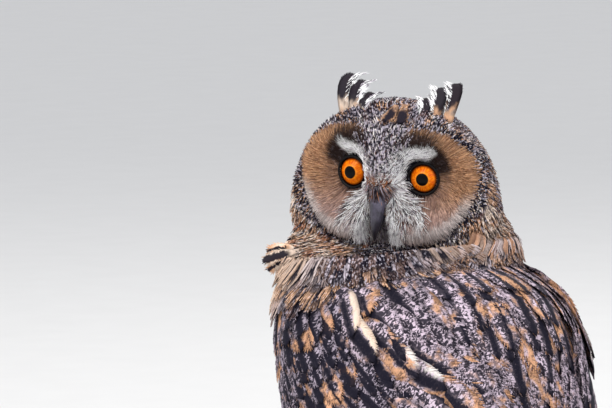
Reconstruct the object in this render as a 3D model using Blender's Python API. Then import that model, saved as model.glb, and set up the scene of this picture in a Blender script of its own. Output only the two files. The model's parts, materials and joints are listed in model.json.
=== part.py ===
"""A long-eared owl standing on the ground, life size, looking back over its left shoulder.

The bird faces -Y and its left side is +X. Sizes in the code are millimetres and MM turns them
into metres. The body, the folded wings and the tail all lie on one envelope, a smooth tube that
runs from the neck to the wing tips, so a place on the bird is a station along the tube, an angle
round it (0 on the back, 90 on the left side, 180 on the breast) and a height above its surface.
"""

import math

import bpy
import numpy as np
from mathutils import Matrix, Vector

MM = 0.001
GAP = 0.35

# The envelope: y, z, half width, depth to the back, depth to the breast, at each station.
STATIONS = (
    (-30, 242, 42, 40, 38),
    (-32, 217, 55, 50, 52),
    (-27, 190, 57, 48, 54),
    (-14, 160, 61, 65, 61),
    (0, 128, 61, 65, 67),
    (20, 96, 55, 57, 58),
    (50, 68, 42, 40, 40),
    (88, 49, 28, 20, 18),
    (134, 31, 24, 12, 8),
    (184, 16, 17, 8, 4),
    (210, 10, 12, 6, 3),
)
BACK_SQUARENESS = 2.4
NECK_START = 0.35
NECK_TO_TORSO = 1.75
TORSO_END = 6.95
TORSO_RINGS = 12
ROUND_FACES = 24

# The head frame: x to the bird's left, f forward, z up, about the middle of the head.
HEAD_PLACE = (0, -33, 244)
HEAD_TURN = 115
HEAD_NOD = 4
HEAD_ROLL = 3
HEAD_MIDDLE_DROP = 12
HEAD_HALF_WIDTH = 51
HEAD_UP = 49.5
HEAD_DOWN = 42
HEAD_BACK = 43
HEAD_FRONT = 13
CHEEK_SQUARENESS = 3.5
CHEEK_FLARE = 4.0
HEAD_TRIANGLES = 960

# The face stands forward of the skull's oval. Each facial disc is a bowl round its eye.
FACE_FORWARD = 21.5
FACE_HALF_WIDTH = 43.5
DISC_INNER = 16
DISC_OUTER = 25
DISC_UP = 19
DISC_DOWN = 26
BOWL_DEPTH = 11
RUFF_RISE = 1.8

# The neck's upper slope in front of the face, as (forward, z) at the chin and over the shoulder.
CHIN = (19, -33)
SHOULDER = (55, -47)

TUFT_FEATHERS = 4
TUFT_HALF_WIDTH = 4.4

EYE_X = 17
EYE_Z = 2.2
EYE_RADIUS = 10.5
EYE_FORWARD = -0.3
EYE_SPLAY = 8
LID_RADIUS = 7.8
LID_THICKNESS = 1.3

BILL_PATH = (
    (8, -2, 5),
    (15.5, -3, 4.6),
    (18.8, -10, 3.9),
    (20.6, -17, 3.0),
    (21.8, -23, 1.6),
    (22.2, -27, 0.4),
)
MANDIBLE_PATH = ((8, -9, 4), (14, -12, 3.5), (17.4, -18, 2.5), (19.2, -23, 1.2))

# Degrees round the envelope of the folded wing's edges, at each station.
WING_LOWER_EDGE = (150, 128, 124, 124, 122, 117, 106, 92, 66, 34, 20)
WING_UPPER_EDGE = (86, 76, 64, 48, 30, 14, 7, 5, 5, 4, 4)
WING_START = 1.66
WRIST_AT = 0.3
WING_SLAB_END = 7.0
WING_THICKNESS = 7.0
WING_CLEAR = 3.3
MANTLE_CLEAR = 2.4
WING_EDGE = 4.1

# Tiers of the shoulder feathers: how many, the stations of their roots and tips, how far round
# they start and end as shares of the wing's upper edge, and how high their tips lift.
SCAPULAR_TIERS = (
    (4, 2.5, 3.6, 0.80, 1.20, 2.0),
    (4, 3.0, 4.4, 0.70, 1.28, 2.0),
    (5, 3.4, 5.3, 0.60, 1.30, 1.2),
)
SCAPULAR_HALF_WIDTH = 12
SCAPULAR_CLEAR = 2.3
SECONDARY_LIFT = 3.5

TAIL_FEATHERS = 12
TAIL_START = 7.02
TAIL_END = 9.3
TAIL_STEP = 1.25
TAIL_HALF_WIDTH = 11.5

HIP = (27, 6, 84)
ANKLE = (27, 16, 40)
FOOT = (27, 2, 10)
LEG_CUT = 15.0
TOES = (("inner", -14, 25), ("middle", 14, 29), ("outer", 82, 21), ("hind", 172, 16))
CLAW_LENGTH = 13.5
CLAW_GAP = 1.4

COLOURS = {
    "buff": (0.60, 0.40, 0.24, 0.75),
    "mottled": (0.28, 0.20, 0.16, 0.75),
    "face": (0.50, 0.34, 0.22, 0.8),
    "dark": (0.05, 0.04, 0.05, 0.7),
    "leg": (0.62, 0.45, 0.28, 0.8),
    "eye": (0.85, 0.28, 0.02, 0.08),
    "horn": (0.03, 0.03, 0.035, 0.35),
}


def clear_scene():
    for obj in list(bpy.data.objects):
        bpy.data.objects.remove(obj, do_unlink=True)


def material(name):
    if name in bpy.data.materials:
        return bpy.data.materials[name]
    made = bpy.data.materials.new(name)
    made.use_nodes = True
    surface = made.node_tree.nodes["Principled BSDF"]
    red, green, blue, roughness = COLOURS[name]
    surface.inputs["Base Color"].default_value = (red, green, blue, 1)
    surface.inputs["Roughness"].default_value = roughness
    surface.inputs["Metallic"].default_value = 0.0
    return made


def solid(name, points, faces, colour):
    """A mesh object from points in millimetres."""
    mesh = bpy.data.meshes.new(name)
    mesh.from_pydata([tuple(c * MM for c in p) for p in points], [], faces)
    mesh.materials.append(material(colour))
    mesh.validate()
    obj = bpy.data.objects.new(name, mesh)
    bpy.context.scene.collection.objects.link(obj)
    return obj


def apply_modifiers(obj):
    graph = bpy.context.evaluated_depsgraph_get()
    made = bpy.data.meshes.new_from_object(obj.evaluated_get(graph))
    obj.modifiers.clear()
    obj.data = made


def keep_largest(obj):
    """Drops every closed surface of the mesh but the one with the most volume."""
    mesh = obj.data
    parent = list(range(len(mesh.vertices)))

    def root(i):
        while parent[i] != i:
            parent[i] = parent[parent[i]]
            i = parent[i]
        return i

    for edge in mesh.edges:
        a, b = root(edge.vertices[0]), root(edge.vertices[1])
        if a != b:
            parent[a] = b
    volume = {}
    for face in mesh.polygons:
        corners = [mesh.vertices[i].co for i in face.vertices]
        key = root(face.vertices[0])
        for i in range(1, len(corners) - 1):
            part = corners[0].dot(corners[i].cross(corners[i + 1])) / 6
            volume[key] = volume.get(key, 0) + part
    best = max(volume, key=volume.get)
    kept = [i for i in range(len(mesh.vertices)) if root(i) == best]
    index = {old: new for new, old in enumerate(kept)}
    points = [tuple(mesh.vertices[i].co) for i in kept]
    faces = [
        [index[i] for i in face.vertices]
        for face in mesh.polygons
        if root(face.vertices[0]) == best
    ]
    smaller = bpy.data.meshes.new(obj.name)
    smaller.from_pydata(points, [], faces)
    for slot in mesh.materials:
        smaller.materials.append(slot)
    obj.data = smaller


def fuse(base, pieces, solver="MANIFOLD"):
    """One closed body from the base and the pieces sunk into it."""
    group = bpy.data.collections.new(base.name + "_pieces")
    for piece in pieces:
        bpy.context.scene.collection.objects.unlink(piece)
        group.objects.link(piece)
    bpy.context.scene.collection.children.link(group)
    join = base.modifiers.new("join", "BOOLEAN")
    join.operation = "UNION"
    join.solver = solver
    join.operand_type = "COLLECTION"
    join.collection = group
    apply_modifiers(base)
    for piece in pieces:
        bpy.data.objects.remove(piece, do_unlink=True)
    bpy.data.collections.remove(group)
    keep_largest(base)
    return base


def carve(obj, cutter, solver="MANIFOLD"):
    cut = obj.modifiers.new("cut", "BOOLEAN")
    cut.operation = "DIFFERENCE"
    cut.solver = solver
    cut.object = cutter
    apply_modifiers(obj)
    bpy.data.objects.remove(cutter, do_unlink=True)
    keep_largest(obj)
    return obj


def along(rows, u):
    """A smooth curve through rows of numbers, read at the row number u."""
    rows = np.asarray(rows, float)
    last = len(rows) - 1
    u = min(max(u, 0.0), last - 1e-9)
    i = int(u)
    t = u - i
    before, here, there, after = (rows[min(max(i + k, 0), last)] for k in (-1, 0, 1, 2))
    return (
        here
        + 0.5 * t * (there - before)
        + t * t * (before - 2.5 * here + 2 * there - 0.5 * after)
        + t * t * t * (1.5 * (here - there) + 0.5 * (after - before))
    )


def smooth_step(low, high, value):
    t = min(max((value - low) / (high - low), 0.0), 1.0)
    return t * t * (3 - 2 * t)


def section(u):
    """The middle of the tube at station u, the way it runs and the way to its back."""
    y, z, half_width, back, front = along(STATIONS, u)
    step = 0.05
    y1, z1 = along(STATIONS, u + step)[:2]
    y0, z0 = along(STATIONS, u - step)[:2]
    run = Vector((0, y1 - y0, z1 - z0)).normalized()
    to_back = Vector((0, -run.z, run.y))
    return Vector((0, y, z)), run, to_back, half_width, back, front


def envelope(u, angle, height=0.0):
    """A point on the bird: station, degrees round from the back to the left, height above."""
    middle, _, to_back, half_width, back, front = section(u)
    across, deep = math.sin(math.radians(angle)), math.cos(math.radians(angle))
    depth, power = (back, BACK_SQUARENESS) if deep > 0 else (front, 2)
    push = (abs(across) ** power + abs(deep) ** power) ** (-1 / power)
    x = (half_width * push + height) * across
    n = (depth * push + height) * deep
    return middle + Vector((x, 0, 0)) + to_back * n


def outward(u, angle):
    """The unit normal of the envelope."""
    along_body = envelope(u + 0.03, angle) - envelope(u - 0.03, angle)
    round_body = envelope(u, angle + 0.6) - envelope(u, angle - 0.6)
    return along_body.cross(round_body).normalized() * -1


def rings_to_solid(name, rings, colour):
    """Closes a stack of rings with a fan at each end."""
    count = len(rings[0])
    points = [p for ring in rings for p in ring]
    faces = []
    for r in range(len(rings) - 1):
        for c in range(count):
            a, b = r * count + c, r * count + (c + 1) % count
            faces += [(a, b, b + count), (a, b + count, a + count)]
    for ring, start in ((0, 0), (len(rings) - 1, (len(rings) - 1) * count)):
        middle = sum((Vector(p) for p in rings[ring]), Vector()) / count
        points.append(middle)
        for c in range(count):
            a, b = start + c, start + (c + 1) % count
            faces.append((b, a, len(points) - 1) if ring == 0 else (a, b, len(points) - 1))
    return solid(name, points, outward_faces(points, faces), colour)


def outward_faces(points, faces):
    volume = 0
    for face in faces:
        a, b, c = (Vector(points[i]) for i in face)
        volume += a.dot(b.cross(c))
    return faces if volume > 0 else [tuple(reversed(f)) for f in faces]


def body_solid(name, start, end, colour, grow=0.0, rings=TORSO_RINGS, round_ends=(0, 0)):
    """A length of the envelope. round_ends pulls the last rings in, in millimetres."""
    made = []
    for k in range(rings + 1):
        share = k / rings
        u = start + (end - start) * share
        pull = round_ends[0] * max(0, 1 - share * rings / 2) ** 2
        pull += round_ends[1] * max(0, 1 - (1 - share) * rings / 2) ** 2
        ring = [envelope(u, 360 * c / ROUND_FACES, grow - pull) for c in range(ROUND_FACES)]
        made.append(ring)
    return rings_to_solid(name, made, colour)


def head_to_world():
    """The matrix from the head frame (x left, -y forward, z up) to the bird's."""
    turn = Matrix.Rotation(math.radians(HEAD_TURN), 4, "Z")
    nod = Matrix.Rotation(math.radians(HEAD_NOD), 4, "X")
    roll = Matrix.Rotation(math.radians(HEAD_ROLL), 4, "Y")
    return Matrix.Translation(HEAD_PLACE) @ turn @ nod @ roll


HEAD = head_to_world()


def head_point(x, forward, z):
    return HEAD @ Vector((x, -forward, z))


def disc_share(x, z):
    """0 at an eye, 1 at the edge of its facial disc, whichever disc is nearer."""
    across = abs(x) - EYE_X
    up = z - EYE_Z
    width = DISC_OUTER if across > 0 else DISC_INNER
    height = DISC_UP if up > 0 else DISC_DOWN
    return math.hypot(across / width, up / height)


def face_forward(x, z):
    """How far forward the face stands at x, z of the head frame, bowls and ruff included."""
    drop = 13 if z > 0 else 4
    dome = FACE_FORWARD - 16.5 * (x / FACE_HALF_WIDTH) ** 2 - drop * (z / 30) ** 2
    share = disc_share(x, z)
    from_eye = math.hypot(abs(x) - EYE_X, z - EYE_Z)
    bowl = BOWL_DEPTH * (1 - smooth_step(0.25, 1.0, share))
    outer = smooth_step(4, 14, abs(x))
    ruff = RUFF_RISE * math.exp(-(((share - 1.0) / 0.12) ** 2)) * outer
    face = dome - bowl + ruff
    if from_eye > LID_RADIUS:
        lid = EYE_FORWARD + math.sqrt(max(0.0, (EYE_RADIUS + 1.3) ** 2 - from_eye**2))
        return max(face, lid)
    return min(face, EYE_FORWARD + math.sqrt((EYE_RADIUS + 0.2) ** 2 - from_eye**2))


def head_solid(name, colour, grow=0.0, triangles=HEAD_TRIANGLES):
    bpy.ops.mesh.primitive_ico_sphere_add(subdivisions=6, radius=1)
    ball = bpy.context.active_object
    points = []
    for vertex in ball.data.vertices:
        x, back, z = vertex.co
        forward = -back
        half_height = HEAD_UP if z > 0 else HEAD_DOWN
        pz = z * (half_height + grow) - HEAD_MIDDLE_DROP
        round_here = math.hypot(x, forward)
        push = 1.0
        if forward > 0:
            power = CHEEK_SQUARENESS
            push = round_here / (abs(x) ** power + forward**power) ** (1 / power)
        flare = CHEEK_FLARE * smooth_step(0, 34, -pz) * abs(x)
        px = x * push * (HEAD_HALF_WIDTH + grow + flare)
        depth = HEAD_FRONT if forward > 0 else HEAD_BACK
        pf = forward * push * (depth + grow)
        if forward > 0:
            share = disc_share(px, pz)
            inside = 1 - smooth_step(1.02, 1.3, share)
            bridge = (1 - smooth_step(12, 26, abs(px))) * (1 - smooth_step(20, 34, abs(pz - 2)))
            weight = max(inside, bridge) * smooth_step(0.0, 0.3, forward)
            pf += weight * (face_forward(px, pz) + grow - pf)
        points.append(head_point(px, pf, pz))
    faces = [tuple(f.vertices) for f in ball.data.polygons]
    bpy.data.objects.remove(ball, do_unlink=True)
    made = solid(name, points, outward_faces(points, faces), colour)
    fewer = made.modifiers.new("fewer", "DECIMATE")
    fewer.ratio = triangles / len(faces)
    fewer.use_collapse_triangulate = True
    apply_modifiers(made)
    return made


def ball_solid(name, centre, radius, colour, rows=10, columns=16):
    rings = []
    for r in range(1, rows):
        tilt = math.pi * r / rows
        ring = []
        for c in range(columns):
            turn = 2 * math.pi * c / columns
            x, y = math.sin(tilt) * math.cos(turn), math.sin(tilt) * math.sin(turn)
            ring.append(centre + Vector((x, y, math.cos(tilt))) * radius)
        rings.append(ring)
    made = rings_to_solid(name, rings, colour)
    poles = {len(made.data.vertices) - 2: 1, len(made.data.vertices) - 1: -1}
    for index, sign in poles.items():
        made.data.vertices[index].co = (centre + Vector((0, 0, sign * radius))) * MM
    return made


def eye_axis(side):
    """The way an eye looks, in the head frame: forward and a little out."""
    splay = math.radians(EYE_SPLAY)
    return Vector((side * math.sin(splay), -math.cos(splay), 0))


def eye_centre(side):
    return HEAD @ Vector((side * EYE_X, -EYE_FORWARD, EYE_Z))


def lid_ring(side):
    """The bare rim of the lids: a ring round the eye that stands out of the bowl."""
    axis = (HEAD.to_3x3() @ eye_axis(side)).normalized()
    up = (HEAD.to_3x3() @ Vector((0, 0, 1))).normalized()
    across = axis.cross(up).normalized()
    up = across.cross(axis).normalized()
    forward = math.sqrt((EYE_RADIUS + GAP + LID_THICKNESS * 0.5) ** 2 - LID_RADIUS**2)
    middle = eye_centre(side) + axis * forward
    columns, rows = 14, 5
    rings = []
    for c in range(columns):
        turn = 2 * math.pi * c / columns
        out = across * math.cos(turn) + up * math.sin(turn)
        ring = []
        for r in range(rows):
            lean = 2 * math.pi * r / rows
            ring.append(
                middle
                + out * (LID_RADIUS + LID_THICKNESS * math.cos(lean))
                + axis * (LID_THICKNESS * math.sin(lean))
            )
        rings.append(ring)
    points = [p for ring in rings for p in ring]
    faces = []
    for c in range(columns):
        for r in range(rows):
            a, b = c * rows + r, c * rows + (r + 1) % rows
            d, e = ((c + 1) % columns) * rows + r, ((c + 1) % columns) * rows + (r + 1) % rows
            faces += [(a, b, e), (a, e, d)]
    return solid("lid", points, outward_faces(points, faces), "dark")


def horn(name, path, colour, place, sides=12, grow=0.0, flatten=1.0):
    """A curved, tapering horn: forward, z and half width at each point of the path."""
    rows = [along(path, (len(path) - 1) * k / 9) for k in range(10)]
    rings = []
    for k, (forward, z, width) in enumerate(rows):
        ahead, behind = rows[min(k + 1, 9)], rows[max(k - 1, 0)]
        run = Vector((0, -(ahead[0] - behind[0]), ahead[1] - behind[1])).normalized()
        lift = Vector((1, 0, 0)).cross(run)
        ring = []
        for c in range(sides):
            turn = 2 * math.pi * c / sides
            across = (width + grow) * math.cos(turn)
            up = (width * flatten + grow) * math.sin(turn)
            local = Vector((across, -forward, z)) + lift * up
            ring.append(place @ local)
        rings.append(ring)
    return rings_to_solid(name, rings, colour)


def vane_solid(rows, thickness):
    """A closed vane. Each row gives its middle, the way across with the half width as length,
    and the normal. Both faces are split into the same triangles, so that they never cross."""
    points = []
    for middle, across, normal, tilt in rows:
        for sign in (-1, 1):
            edge = middle + (across + normal * tilt) * sign
            points.append(edge + normal * (thickness / 2))
            points.append(edge - normal * (thickness / 2))
    faces = []
    for a in range(0, 4 * (len(rows) - 1), 4):
        faces += [(a, a + 2, a + 6), (a, a + 6, a + 4)]
        faces += [(a + 1, a + 7, a + 3), (a + 1, a + 5, a + 7)]
        faces += [(a + 1, a, a + 4), (a + 1, a + 4, a + 5)]
        faces += [(a + 2, a + 3, a + 7), (a + 2, a + 7, a + 6)]
    end = 4 * (len(rows) - 1)
    faces += [(0, 1, 3), (0, 3, 2), (end, end + 3, end + 1), (end, end + 2, end + 3)]
    return solid("vane", points, outward_faces(points, faces), "mottled")


def vane_width(s, half_width, root, blunt, rounded_from):
    """Half the width at share s: narrow at the root, full by the middle, round at the tip."""
    widen = min(1.0, root + 1.6 * s)
    end = max(0.0, (s - rounded_from) / (1 - rounded_from))
    return half_width * widen * max(blunt, math.sqrt(max(0.0, 1 - end * end)))


def body_vane(path, half_width, thickness, tilt=0.0, segments=3, side=1, blunt=0.4):
    """A feather that lies along the envelope. path gives station, angle and height from 0 at
    the root to 1 at the tip. tilt lifts one edge, and the next feather's edge lies under it."""
    rows = []
    for k in range(segments + 1):
        s = k / segments
        u, angle, height = path(s)
        here = envelope(u, angle, height)
        run = envelope(*path(min(s + 0.02, 1.0))) - envelope(*path(max(s - 0.02, 0.0)))
        across = run.cross(outward(u, angle)).normalized()
        normal = across.cross(run).normalized()
        width = vane_width(s, half_width, 0.55, blunt, 0.65)
        rows.append((here, across * width, normal, tilt * width / half_width))
    if side < 0:
        rows = [(flip(m), flip(a), flip(n), t) for m, a, n, t in rows]
    return vane_solid(rows, thickness)


def flip(vector):
    return Vector((-vector.x, vector.y, vector.z))


def between(low, high, share):
    return low + (high - low) * share


def wing_angle(u, t):
    """Degrees round the envelope at share t from the wing's lower to its upper edge."""
    low = float(along([[a] for a in WING_LOWER_EDGE], u)[0])
    high = float(along([[a] for a in WING_UPPER_EDGE], u)[0])
    return between(low, high, t)


def wing_front(t):
    """The station where the wing starts: the wrist is its foremost point."""
    return WING_START + 1.5 * (t - WRIST_AT) ** 2


def wing_height(u, t):
    """How high the arm, the hand and the small coverts stand above the envelope."""
    across = math.sin(math.pi * min(max(t, 0), 1)) ** 0.6
    front = smooth_step(wing_front(t) - 0.1, wing_front(t) + 0.8, u)
    rear = 1 - 0.75 * smooth_step(3.2, WING_SLAB_END, u)
    under_shoulder = 1 - 0.75 * smooth_step(0.5, 1.0, t)
    return WING_EDGE + WING_THICKNESS * across * front * rear * under_shoulder


def shell(name, rows, columns, outer_at, inner_at, side):
    """A closed sheet between two grids of points, mirrored where side is -1."""
    shares = [(r / rows, c / columns) for r in range(rows + 1) for c in range(columns + 1)]
    points = [outer_at(*share) for share in shares] + [inner_at(*share) for share in shares]
    if side < 0:
        points = [flip(p) for p in points]
    shift, width = len(shares), columns + 1
    faces = []
    for r in range(rows):
        for c in range(columns):
            a = r * width + c
            b = a + shift
            faces += [(a, a + 1, a + width + 1), (a, a + width + 1, a + width)]
            faces += [(b, b + width + 1, b + 1), (b, b + width, b + width + 1)]
    rim = [r * width for r in range(rows + 1)]
    rim += [rows * width + c for c in range(1, width)]
    rim += [r * width + columns for r in range(rows - 1, -1, -1)]
    rim += [c for c in range(columns - 1, 0, -1)]
    for k, a in enumerate(rim):
        b = rim[(k + 1) % len(rim)]
        faces += [(a, b, b + shift), (a, b + shift, a + shift)]
    return solid(name, points, outward_faces(points, faces), "mottled")


def wing_slab(side, name):
    """The arm and hand of the folded wing, which the vanes grow from."""

    def place(r, c, height):
        u = between(wing_front(c), WING_SLAB_END, r)
        return envelope(u, wing_angle(u, c), wing_height(u, c) if height is None else height)

    return shell(
        name,
        11,
        6,
        lambda r, c: place(r, c, None),
        lambda r, c: place(r, c, WING_CLEAR),
        side,
    )


def clear_of_middle(u, angle, half_width):
    """The angle, or the least one that keeps a vane on its own side of the bird."""
    reach = min(0.99, (half_width + 0.8) / section(u)[3])
    return max(angle, math.degrees(math.asin(reach)))


def feather_row(side, count, root, tip, half_width, tilt, segments=3, blunt=0.4, thickness=0.85):
    """A tier of the wing. root and tip give (u, t, height) for share 0 to 1 of the tier."""
    made = []
    for k in range(count):
        share = k / (count - 1)
        wide = half_width(share)

        def path(s, a=root(share), b=tip(share), wide=wide):
            u = between(a[0], b[0], s)
            angle = clear_of_middle(u, wing_angle(u, between(a[1], b[1], s)), wide)
            return u, angle, between(a[2], b[2], s)

        made.append(body_vane(path, wide, thickness, tilt, segments, side, blunt))
    return made


def wing(side, name):
    """The folded wing: primaries below, secondaries over them, then the coverts in tiers."""
    primaries = feather_row(
        side,
        5,
        lambda k: (5.5, between(0.12, 0.46, k), between(2.1, 5.6, k)),
        lambda k: (9.45 - 1.7 * k**1.2, between(0.10, 0.50, k), between(1.2, 5.9, k)),
        lambda k: between(7.0, 10.0, k),
        0.9,
        4,
        0.22,
    )
    secondaries = feather_row(
        side,
        6,
        lambda k: (between(4.2, 3.9, k), between(0.24, 0.78, k), between(4.8, 3.2, k)),
        lambda k: (between(6.5, 7.5, k), between(0.26, 0.72, k), between(6.6, 9.4, k)),
        lambda k: 12.5,
        2.0,
    )
    hand_coverts = feather_row(
        side,
        2,
        lambda k: (between(3.5, 3.9, k), between(0.09, 0.20, k), 3.6),
        lambda k: (between(5.1, 5.8, k), between(0.07, 0.18, k), between(4.0, 5.2, k)),
        lambda k: 9.0,
        1.4,
        2,
    )
    great_coverts = feather_row(
        side,
        5,
        lambda k: (between(3.6, 3.4, k), between(0.22, 0.68, k), between(6.0, 5.0, k)),
        lambda k: (between(5.0, 5.4, k), between(0.22, 0.70, k), between(8.6, 8.4, k)),
        lambda k: 13.0,
        1.9,
        2,
    )
    median_coverts = feather_row(
        side,
        5,
        lambda k: (between(2.8, 2.6, k), between(0.16, 0.60, k), between(6.0, 5.4, k)),
        lambda k: (between(4.1, 4.2, k), between(0.14, 0.62, k), between(9.6, 8.6, k)),
        lambda k: 12.5,
        1.9,
        2,
    )
    slab = wing_slab(side, name)
    return fuse(slab, primaries + secondaries + hand_coverts + great_coverts + median_coverts)


def clear_height(u, angle):
    """The height that clears the wing, or the body where no wing is under it."""
    low, high = wing_angle(u, 0.0), wing_angle(u, 1.0)
    t = (angle - low) / (high - low)
    if t <= 1:
        return wing_height(u, t) + SCAPULAR_CLEAR + SECONDARY_LIFT * smooth_step(3.8, 5.0, u)
    rise = WING_EDGE + SCAPULAR_CLEAR - MANTLE_CLEAR
    return MANTLE_CLEAR + rise * max(0.0, 1 - (high - angle) / 10.0)


def scapular_strip(side, name):
    """The mantle of one side and the roots of its shoulder feathers. Its outer edge laps the wing."""

    def place(r, c, thick):
        u = between(1.95 + 0.3 * c * c, 4.5, r)
        edge = wing_angle(u, 1.0)
        lap = max(0.0, (c - 0.6) / 0.4)
        angle = between(0.5, edge - 6, min(1.0, c / 0.6))
        angle = between(angle, wing_angle(u, 0.8), lap)
        crown = math.sin(math.pi * (0.12 + 0.8 * c)) * math.sin(math.pi * (0.1 + 0.8 * r))
        rise = 1.0 + 3.4 * crown
        return envelope(u, angle, clear_height(u, angle) + (rise if thick else 0.0))

    return shell(name, 9, 5, lambda r, c: place(r, c, True), lambda r, c: place(r, c, False), side)


def scapulars(side, name):
    """The long shoulder feathers: three tiers of vanes over the wing's inner part."""
    vanes = []
    for count, start, end, root_at, tip_at, lift in SCAPULAR_TIERS:
        for k in range(count):
            share = k / (count - 1)
            root_edge, tip_edge = wing_angle(start, 1.0), wing_angle(end, 1.0)
            root = (between(start + 0.6, start, share), between(0.2, root_at, share) * root_edge)
            tip = (between(end + 0.5, end - 0.3, share), between(0.3, tip_at, share) * tip_edge)

            def path(s, a=root, b=tip, lift=lift):
                u = between(a[0], b[0], s)
                angle = clear_of_middle(u, between(a[1], b[1], s), SCAPULAR_HALF_WIDTH)
                return u, angle, clear_height(u, angle) + 2.4 + lift * smooth_step(0.0, 0.6, s)

            vanes.append(body_vane(path, SCAPULAR_HALF_WIDTH, 0.9, -1.8, 2, side, 0.45))
    return fuse(scapular_strip(side, name), vanes)


def tail(name):
    """The tail feathers, the middle pair on top, fanned a little from the rump."""
    root = body_solid(name, TAIL_START, 7.7, "mottled", -0.6, 5, (1.5, 8))
    start, end = section(7.15)[0], section(TAIL_END)[0]
    length = (end - start).length
    run = (end - start).normalized()
    side_way = Vector((1, 0, 0))
    upward = side_way.cross(run)
    upward = upward if upward.z > 0 else -upward
    vanes = []
    for k in range(TAIL_FEATHERS // 2):
        for side in (-1, 1):
            lean = side * math.atan((TAIL_HALF_WIDTH - 2.5 + 3.8 * k) / length)
            way = run * math.cos(lean) + side_way * math.sin(lean)
            across = way.cross(upward).normalized()
            rows = []
            for row in range(4):
                s = row / 3
                width = vane_width(s, TAIL_HALF_WIDTH, 0.5, 0.5, 0.82)
                here = start + way * (length * s * (1 - 0.006 * k * k))
                level = 2.4 - TAIL_STEP * k + side * 0.45 - 0.004 * here.x**2
                rows.append((here + upward * level, across * width, upward, 0.0))
            vanes.append(vane_solid(rows, 0.8))
    return fuse(root, vanes)


def ear_tuft(side, name):
    """The long feathers that rise from the crown over the eye and lean back."""
    vanes = []
    outside = (HEAD.to_3x3() @ Vector((side * 0.5, -0.5, 0.7))).normalized()
    for k in range(TUFT_FEATHERS):
        share = k / (TUFT_FEATHERS - 1)
        root = Vector((side * between(16, 27, share), between(-5, 1, share), 29.5))
        tip = Vector((side * between(16, 30, share), between(9, 16, share), 44.5 - 1.0 * share))

        def path(s, root=root, tip=tip):
            at = root.lerp(tip, s)
            at.z = between(root.z, tip.z, math.sin(math.pi / 2 * s) ** 0.9)
            return HEAD @ at

        rows = []
        for row in range(5):
            s = row / 4
            run = path(min(s + 0.02, 1)) - path(max(s - 0.02, 0))
            across = run.cross(outside).normalized()
            normal = across.cross(run).normalized()
            width = vane_width(s, TUFT_HALF_WIDTH, 0.7, 0.4, 0.55)
            rows.append((path(s) + normal * (0.45 * k), across * width, normal, 0.5 * side))
        vanes.append(vane_solid(rows, 1.0))
    base = vanes.pop(TUFT_FEATHERS // 2)
    base.name = name
    made = fuse(base, vanes)
    made.data.materials[0] = material("dark")
    return made


def tube(name, path, colour, across, sides=12, rings=7):
    """A round limb along points of (x, y, z, radius), which all lie square to across."""
    rows = [along(path, (len(path) - 1) * k / rings) for k in range(rings + 1)]
    made = []
    for k, row in enumerate(rows):
        ahead = Vector(rows[min(k + 1, rings)][:3])
        behind = Vector(rows[max(k - 1, 0)][:3])
        run = (ahead - behind).normalized()
        lift = across.cross(run).normalized()
        ring = []
        for c in range(sides):
            turn = 2 * math.pi * c / sides
            way = across * math.cos(turn) + lift * math.sin(turn)
            ring.append(Vector(row[:3]) + way * row[3])
        made.append(ring)
    return rings_to_solid(name, made, colour)


def block(name, low, high):
    """A box, used to cut."""
    points = [
        Vector((x, y, z))
        for z in (low[2], high[2])
        for y in (low[1], high[1])
        for x in (low[0], high[0])
    ]
    quads = ((0, 2, 3, 1), (4, 5, 7, 6), (0, 1, 5, 4), (2, 6, 7, 3), (0, 4, 6, 2), (1, 3, 7, 5))
    faces = [f for a, b, c, d in quads for f in ((a, b, c), (a, c, d))]
    return solid(name, points, outward_faces(points, faces), "dark")


def leg(side, name):
    """The feathered leg from the belly to the foot."""
    hip, ankle, foot = (Vector((side * p[0], p[1], p[2])) for p in (HIP, ANKLE, FOOT))
    knee = hip.lerp(ankle, 0.5) + Vector((0, -3, 0))
    path = (
        (*hip, 22),
        (*knee, 19),
        (*ankle, 13),
        (*ankle.lerp(foot, 0.5), 9.6),
        (*foot, 8.6),
    )
    limb = tube(name, path, "leg", Vector((1, 0, 0)), 12, 9)
    carve(limb, body_solid("grown_body", 3.0, TORSO_END, "buff", GAP, 9, (0, 7)))
    carve(limb, block("floor_cut", (-90, -90, -30), (90, 90, LEG_CUT)))
    return limb


def foot(side, name):
    """The sole and four feathered toes, cut flat where they stand."""
    palm = Vector((side * FOOT[0], FOOT[1], 0))
    top = (palm.x, palm.y + 1, LEG_CUT + 6)
    shank = ((*top, 8.4), (palm.x, palm.y, 10, 8.6), (palm.x, palm.y, -2.0, 8.0))
    sole = tube(name, shank, "leg", Vector((1, 0, 0)), 10, 3)
    toes = []
    for toe, degrees, length in TOES:
        start, end = toe_line(side, degrees, length)
        middle = start.lerp(end, 0.5) + Vector((0, 0, 1.2))
        path = ((*start, 6.0), (*middle, 5.2), (*end, 4.0))
        across = (end - start).cross(Vector((0, 0, 1))).normalized()
        toes.append(tube(toe, path, "leg", across, 7, 2))
    fuse(sole, toes)
    carve(sole, block("leg_cut", (-90, -90, LEG_CUT - GAP), (90, 90, 60)))
    carve(sole, block("floor_cut", (-90, -90, -30), (90, 90, 0)))
    return sole


def toe_line(side, degrees, length):
    turn = math.radians(degrees)
    way = Vector((side * math.sin(turn), -math.cos(turn), 0))
    palm = Vector((side * FOOT[0], FOOT[1], 5.2))
    return palm + way * 2, palm + way * length + Vector((0, 0, -1.6))


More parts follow.
